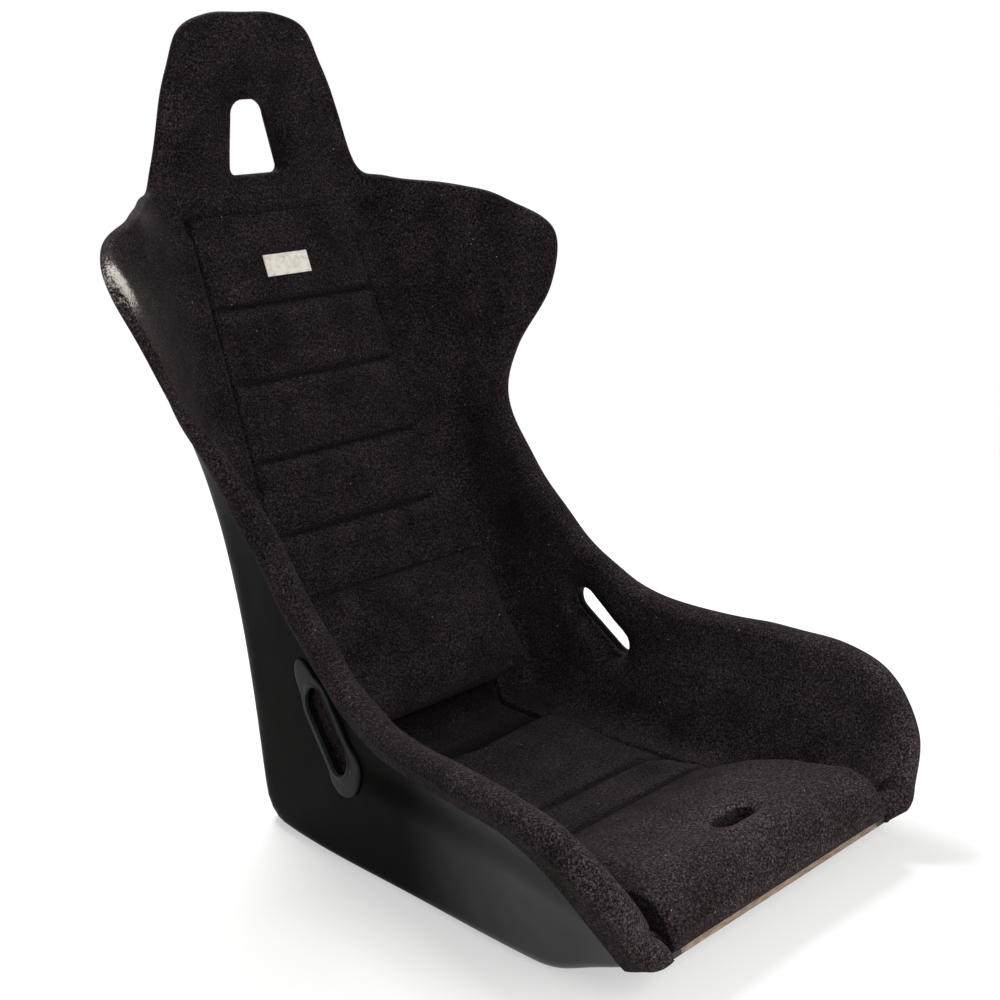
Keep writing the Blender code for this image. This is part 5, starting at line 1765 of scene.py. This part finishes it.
@dataclass
class SeatCushion:
    """Loose seat cushion with a raised front, two sewn lines and the crotch-belt opening."""

    grid: tuple = (110, 70)
    floor: float = 0.0109
    rear_top: float = 0.046
    mid_top: float = 0.041
    ramp_top: float = 0.085
    ramp_foot: float = 0.080
    nose: float = 0.040
    nose_drop: float = 0.028
    shrink: float = 0.004
    plump: float = 0.005
    edge_radius: float = 0.008
    sewn: tuple = (-0.128, -0.192)
    groove: float = 0.0034
    groove_half: float = 0.005
    groove_ends: float = 0.4
    groove_fade: float = 0.93
    upper_shares: tuple = (0.35, 0.6)
    curve_points: int = 400
    curve_blur: int = 9
    # Pulled pile and painted shade on the lines and the rear edge, and a painted pool of light on the front.
    pull_and_shade: float = 0.55
    rub: float = 0.42
    light_pool_at: float = -0.325
    light_pool_size: tuple = (0.150, 0.085)
    widen: float = 0.003
    hole_inset: float = 0.003
    hole_tuck: float = 0.006
    hole_radius: float = 0.011
    nose_reach: float = 0.006
    nose_sag: float = 0.0052
    nose_press: float = 0.0035
    nose_span: float = 0.03
    sag_from: float = 0.06
    press_from: float = 0.05
    corner_radius: float = 0.009
    stuffing: Stuffing = field(default_factory=lambda: Stuffing(voxel=0.005, cap=0.007))

    @property
    def front(self) -> float:
        """Place of the front of the nose, which hangs over the lip of the shell."""
        return FORM.cushion_front - self.nose_reach

    def half(self, y: Array) -> Array:
        """Half-width of the cushion at places along the seat.

        Args:
            y: places along the seat.

        Returns:
            A half-width for each.
        """
        share = (FORM.cushion_rear - y) / (FORM.cushion_rear - FORM.cushion_front)
        straight = FORM.cushion_rear_half + share * (FORM.cushion_front_half - FORM.cushion_rear_half)
        return straight - CLEARANCE - round_over(y - self.front, self.corner_radius)

    def top(self, y: Array) -> Array:
        """Height of the top of the cushion: a smooth curve through the solid's own steps.

        Args:
            y: places along the seat.

        Returns:
            A height for each.
        """
        nose = [(FORM.cushion_front + place * self.nose, self.ramp_top - drop * self.nose_drop)
                for place, drop in ((0.0, 1.0), (0.1, 0.72), (0.3, 0.34), (0.6, 0.10), (1.0, 0.0))]
        stops = np.array([
            *nose,
            (OPENINGS.crotch_y + OPENINGS.crotch_width, self.ramp_top - 0.25 * self.nose_drop),
            (FORM.base_front + 0.5 * self.ramp_foot, 0.42 * self.mid_top + 0.58 * self.ramp_top),
            (FORM.base_front + self.ramp_foot, 0.80 * self.mid_top + 0.20 * self.ramp_top),
            (FORM.base_front + 1.6 * self.ramp_foot, self.mid_top + 0.002),
            (0.5 * (FORM.cushion_rear + FORM.base_front), self.mid_top),
            (FORM.cushion_rear - 0.020, self.rear_top),
            (FORM.cushion_rear, self.rear_top - 0.002),
        ])
        fine = np.linspace(stops[0, 0], stops[-1, 0], self.curve_points)
        height = np.interp(fine, stops[:, 0], stops[:, 1])
        kernel = np.hanning(2 * self.curve_blur + 1)
        padded = np.pad(height, self.curve_blur, mode="edge")
        height = np.convolve(padded, kernel / kernel.sum(), mode="valid")
        return np.interp(y, fine, height)

    def over_ramp(self, y: Array, start: float) -> Array:
        """Rise from 0 to 1 towards the nose, from a length in front of the foot of the ramp."""
        return smooth_step(0.0, 1.0, (FORM.base_front - start - y) / self.nose_span)

    def low(self, y: Array) -> Array:
        """Height of the underside: flat on the pan, rising with the front ramp and sagging at the nose."""
        rise = np.maximum((y - FORM.base_front) * FORM.ramp[1] / FORM.ramp[0], 0.0)
        return self.floor + rise - self.nose_sag * self.over_ramp(y, self.sag_from)

    def build(self) -> None:
        """Blow up the cushion, sew its lines and cut its opening."""
        ends = FORM.cushion_rear - self.shrink, self.front + self.shrink
        y, u = np.meshgrid(np.linspace(*ends, self.grid[0]), np.linspace(-1.0, 1.0, self.grid[1]),
                           indexing="ij")
        x = u * self.half(y)
        edge = round_over(self.half(y) - np.abs(x), self.edge_radius)
        grids = (np.stack([x, y, z], -1) for z in (self.top(y) - self.shrink - edge, self.low(y)))
        piece = add_piece("seat_squab", closed_between(*grids), VELOUR.material())
        self.stuffing.fill(piece, np.array([self.floor * UP, UP]))
        self.sew(piece)
        carve(piece, OPENINGS.crotch_prism(self.hole_inset, self.hole_tuck), VELOUR.material())
        dress(piece, Body.CUSHION, Slot.VELOUR, "seat_cushion")

    def sew(self, piece: Piece) -> None:
        """Press the lines, the rim of the opening and the nose, and mark pulled pile, painted shade and painted
        light.

        Lines, the rear edge and the painted pool of light are bell curves along the seat; the press on the
        nose is full underneath and fades to nothing at the top.

        Args:
            piece: the cushion, blown up.
        """
        x, y, z = vectors_of(piece.data.vertices).T
        y = np.clip(y, self.front, FORM.cushion_rear)
        half = self.half(y)
        x = np.clip(x * (1.0 + self.widen / half), -half, half)
        share = (z - self.low(y)) / (self.top(y) - self.low(y))
        upper = smooth_step(*self.upper_shares, share)
        hung = self.over_ramp(y, self.press_from) * np.clip(1.0 - share, 0.0, 1.0)
        lines = bell(y[:, None] - np.array(self.sewn), self.groove_half).max(1)
        reach = 1.0 - smooth_step(self.groove_fade, 1.0, np.abs(x) / half)
        depth = self.groove * lines * (self.groove_ends + (1.0 - self.groove_ends) * reach)
        hole = outline_distance(np.column_stack([x, y]), OPENINGS.crotch(self.hole_inset, self.hole_tuck))
        z = z - upper * (depth + soft_over(hole, self.hole_radius)) - self.nose_press * hung
        z = np.clip(z, self.low(y), self.top(y) + self.plump)
        set_coordinates(piece.data, np.column_stack([x, y, z]))
        # Painted shade with the pulled pile on the lines and the rear edge, and a painted pool of light on the
        # front.
        ends = bell(FORM.cushion_rear - y, self.groove_half)
        rubbed = self.rub * bell(x, self.light_pool_size[0]) * bell(y - self.light_pool_at, self.light_pool_size[1])
        mark_wear_and_painted_light(piece, rubbed - self.pull_and_shade * upper * np.maximum(lines * reach, ends))


@dataclass
class Bezels:
    """Plastic frames of the belt openings on the outside of the shell."""

    steps: int = 8
    stations: tuple = (6, 19)
    wall_column: int = 14
    near: float = 0.005
    sharp: float = 60.0
    border: float = 0.0075
    foot_border: float = 0.023
    foot_power: float = 1.1
    tail_border: float = 0.034
    tail_power: float = 9.0
    thickness: float = 0.0030
    seat: float = 0.0009
    edging_border: float = 0.008
    edging_thickness: float = 0.003
    crotch_border: float = 0.006
    crotch_clearance: float = 0.0025
    crotch_thickness: float = 0.002
    gap: float = 0.0003
    shares: tuple = (0.0, 0.0, 0.03, 0.10, 0.35, 0.60, 0.74, 0.80, 0.86, 0.93, 0.98, 1.0, 1.0)
    heights: tuple = (0.0, 0.45, 0.70, 0.80, 0.84, 0.84, 0.84, 0.92, 1.10, 1.16, 1.05, 0.80, 0.0)

    def build(self) -> None:
        """Build the two lap-belt frames, the headrest edging and the crotch-belt frame."""
        self.lap_frames()
        self.harness_edging()
        self.crotch_frame()

    def flange(self, outer: Array, inner: Array) -> tuple[Array, Array]:
        """Flat flange with a bead at the opening, between two outlines.

        Args:
            outer: outline that the flange starts from.
            inner: outline of the opening, point for point.

        Returns:
            Flat loops of the flange, and the height of each as a share of the thickness.
        """
        return outer + (inner - outer) * np.array(self.shares)[:, None, None], np.array(self.heights)[:, None]

    def fit(self, name: str, solid: Solid, node: str) -> None:
        """Put a frame on the seat in place of its solid."""
        piece = add_piece(name, solid, PLASTIC.material(), self.sharp)
        dress(piece, Body.SEAT, Slot.PLASTIC, node)

    def lap_frames(self) -> None:
        """Leaf-shaped frames: a wide round foot, narrow sides and a pointed tail up along the rim.

        Each frame is a profile carried round the slot; its place across the seat comes from the
        outside of the shell by a local plane through the nearest points of that surface.
        """
        first, last = (station * self.steps for station in self.stations)
        wall = Rings(FORM, self.steps).shell(FORM.shell_wall)[first:last, self.wall_column:].reshape(-1, 3)
        middle, along, over = OPENINGS.lap_frame()
        inner = stadium(OPENINGS.lap_length, OPENINGS.lap_width, 40)
        straight = (OPENINGS.lap_length - OPENINGS.lap_width) / 2.0
        ways = unit(inner - np.column_stack([np.clip(inner[:, 0], -straight, straight), np.zeros(len(inner))]))
        foot = np.clip(-ways[:, :1], 0.0, 1.0) ** self.foot_power * (self.foot_border - self.border)
        tail = np.clip(ways[:, :1], 0.0, 1.0) ** self.tail_power * (self.tail_border - self.border)
        flat, heights = self.flange(inner + ways * (self.border + foot + tail), inner)
        yz = middle + flat @ np.array([along, over])
        x = self.surface_x(wall, yz) + self.seat + self.thickness * heights
        points, faces = ring_body(np.concatenate([x[..., None], yz], axis=-1))
        for name, hand in HANDS:
            self.fit(f"lap_frame_{name}", (points * [hand, 1.0, 1.0], faces), f"lap_slot_bezel_{name}")

    def surface_x(self, surface: Array, places: Array) -> Array:
        """Place across the seat of a surface at (y, z): a weighted plane through its near points.

        Args:
            surface: points of the surface.
            places: places (y, z) in the last axis.

        Returns:
            The x of the surface at each place.
        """
        step = surface[None, :, 1:] - places.reshape(-1, 1, 2)
        weight = np.exp(-(step**2).sum(-1) / (2.0 * self.near**2))
        terms = np.concatenate([np.ones_like(step[..., :1]), step], -1)
        left = np.einsum("qp,qpi,qpj->qij", weight, terms, terms)
        right = np.einsum("qp,qpi,p->qi", weight, terms, surface[:, 0])
        solved = np.linalg.solve(left + 1e-12 * np.eye(3), right[..., None])
        return solved[:, 0, 0].reshape(places.shape[:-1])

    def harness_edging(self) -> None:
        """Domed edging round the headrest opening, on the back of the shell."""
        flat, heights = self.flange(OPENINGS.harness(self.edging_border), OPENINGS.harness())
        y = FORM.headrest_back + FORM.shell_wall + self.gap + self.edging_thickness * heights
        loops = np.stack([flat[..., 0], np.broadcast_to(y, flat.shape[:2]), flat[..., 1]], -1)
        self.fit("harness_edging", ring_body(loops), "harness_opening_edging")

    def crotch_frame(self) -> None:
        """Domed frame round the crotch-belt slot, under the front ramp."""
        wide = 2.0 * self.crotch_clearance
        outer, inner = (stadium(OPENINGS.crotch_length + more, OPENINGS.crotch_width + more)
                        for more in (wide + 2.0 * self.crotch_border, wide))
        flat, heights = self.flange(outer, inner)
        rise = unit(FORM.ramp)
        along = np.array([0.0, -rise[0], -rise[1]])
        down = -np.cross(ACROSS, along)
        z = FORM.shell_wall + (OPENINGS.crotch_y - FORM.base_front) * rise[1] / rise[0]
        origin = np.array([0.0, OPENINGS.crotch_y, z]) + (FORM.shell_wall + self.gap) * down
        loops = origin + flat @ np.array([ACROSS, along]) + (self.crotch_thickness * heights)[..., None] * down
        self.fit("crotch_frame", ring_body(loops), "crotch_slot_bezel")


@dataclass
class Hardware:
    """Solids that keep their shape: mounting plates, threaded inserts and hook-and-loop strips."""

    finishes: tuple = (("mount_plate", ZINC), ("mount_insert", ZINC), ("hook_strip", TAPE),
                       ("loop_strip", TAPE))

    def build(self) -> None:
        """Give each solid its finish."""
        for name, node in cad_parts.items():
            for word, finish in self.finishes:
                if word in name:
                    node.data.materials.clear()
                    node.data.materials.append(finish.material())
                    LOG.info("%s keeps its solid", name)


# The studio


@dataclass
class Studio:
    """Camera at the photograph's viewing angle, pale floor and backdrop, and soft light."""

    focal_px: float = 1475.0
    image_px: float = 1000.0
    sensor: float = 36.0
    place: tuple = (-0.9730, -1.0885, 0.7294)
    right: tuple = (0.72603, -0.6858, -0.05046)
    up: tuple = (0.21799, 0.15994, 0.96276)
    view: tuple = (0.65219, 0.70999, -0.26562)
    floor_colour: str = "#f2f1ef"
    floor_reach: float = 30.0
    fade: tuple = (0.5, 2.0)
    near_white: float = 0.50
    world_light: float = 0.32
    aim: tuple = (0.0, 0.0, 0.35)
    lamps: tuple = (
        ("key", (0.4, 1.35, 2.05), 0.9, 85.0),
        ("fill", (-0.25, -1.15, 0.70), 0.7, 11.5),
    )
    # One for a ray from the camera, a reflection or a see-through, and zero for stray light.
    seen: tuple = (
        ("path", "LightPath", {}, {}),
        ("either", "Math", {"operation": "MAXIMUM"}, {0: "path.Is Camera Ray", 1: "path.Is Glossy Ray"}),
        ("seen", "Math", {"operation": "MAXIMUM"}, {0: "either.0", 1: "path.Is Transmission Ray"}),
    )

    def build(self) -> None:
        """Set the camera, the floor, the lamps and the world."""
        self.camera()
        self.ground()
        self.light()

    @staticmethod
    def stand(name: str, data: ID, place: tuple, *axes: tuple) -> Piece:
        """Object at a place, with its right, up and backward axes along three directions.

        Args:
            name: name of the object.
            data: camera or lamp that it holds.
            place: its place.
            axes: directions of its right, up and backward axes.

        Returns:
            The object.
        """
        made = link(name, data)
        made.matrix_world = Matrix.Translation(place) @ Matrix(axes).transposed().to_4x4()
        return made

    def camera(self) -> None:
        """Camera whose axes are the fitted view's right, up and backward directions."""
        data = bpy.data.cameras.new("camera")
        data.sensor_width = self.sensor
        data.lens = self.focal_px / self.image_px * self.sensor
        data.clip_start, data.clip_end = 0.01, 100.0
        backward = tuple(-v for v in self.view)
        bpy.context.scene.camera = self.stand("camera", data, self.place, self.right, self.up, backward)

    def ground(self) -> None:
        """Pale flat floor that keeps the shadow and turns to the white of the world further off."""
        span = np.array([-self.floor_reach, self.floor_reach])
        x, y = np.meshgrid(span, span)
        corners = np.stack([x, y, np.zeros_like(x)], -1).reshape(-1, 3)
        mesh = bpy.data.meshes.new("floor")
        mesh.from_pydata(corners.tolist(), [], grid_quads(np.arange(4).reshape(2, 2))[:, ::-1].tolist())
        made = bpy.data.materials.new("pale_painted_floor")
        made.use_nodes = True
        nodes = made.node_tree.nodes
        plain = {"Base Color": linear(self.floor_colour), "Roughness": 0.9, "Specular IOR Level": 0.1}
        fading = {"interpolation_type": "SMOOTHSTEP", "From Min": self.fade[0], "From Max": self.fade[1],
                  "To Min": self.near_white}
        wire(made.node_tree, [
            *self.seen,
            ("shader", "", plain, {}),
            ("place", "TexCoord", {}, {}),
            ("far", "VectorMath", {"operation": "LENGTH"}, {0: "place.Object"}),
            ("fading", "MapRange", fading, {"Value": "far.Value"}),
            ("share", "Math", {"operation": "MULTIPLY"}, {0: "fading.Result", 1: "seen.0"}),
            ("white", "Emission", {"Strength": 1.0}, {}),
            ("mixed", "MixShader", {}, {0: "share.0", 1: "shader.BSDF", 2: "white.Emission"}),
            ("output", "", {}, {"Surface": "mixed.Shader"}),
        ], {"shader": nodes["Principled BSDF"], "output": nodes["Material Output"]})
        mesh.materials.append(made)
        link("floor", mesh)

    def light(self) -> None:
        """Large soft lamps aimed at the seat, and an even pale world."""
        for name, place, size, power in self.lamps:
            data = bpy.data.lights.new(name, "AREA")
            data.size = size
            data.energy = power
            back = unit(np.array(place) - np.array(self.aim))
            side = unit(np.cross(UP, back))
            self.stand(name, data, place, *(way.tolist() for way in (side, np.cross(back, side), back)))
        world = bpy.data.worlds.new("studio")
        world.use_nodes = True
        wire(world.node_tree, [
            *self.seen,
            ("strength", "MapRange", {"To Min": self.world_light, "To Max": 1.0}, {"Value": "seen.0"}),
            ("ground", "", {"Color": linear("#ffffff")}, {"Strength": "strength.Result"}),
        ], {"ground": world.node_tree.nodes["Background"]})
        bpy.context.scene.world = world


def main() -> None:
    """Build every sub-assembly and the studio."""
    logging.basicConfig(level=logging.INFO)
    bpy.context.scene.view_settings.view_transform = "Standard"
    for assembly in (Shell(), Covers(), BackPad(), HipLining(), LumbarCushion(), SeatCushion(), Bezels(),
                     Hardware(), Studio()):
        assembly.build()


if __name__ == "__main__":
    main()
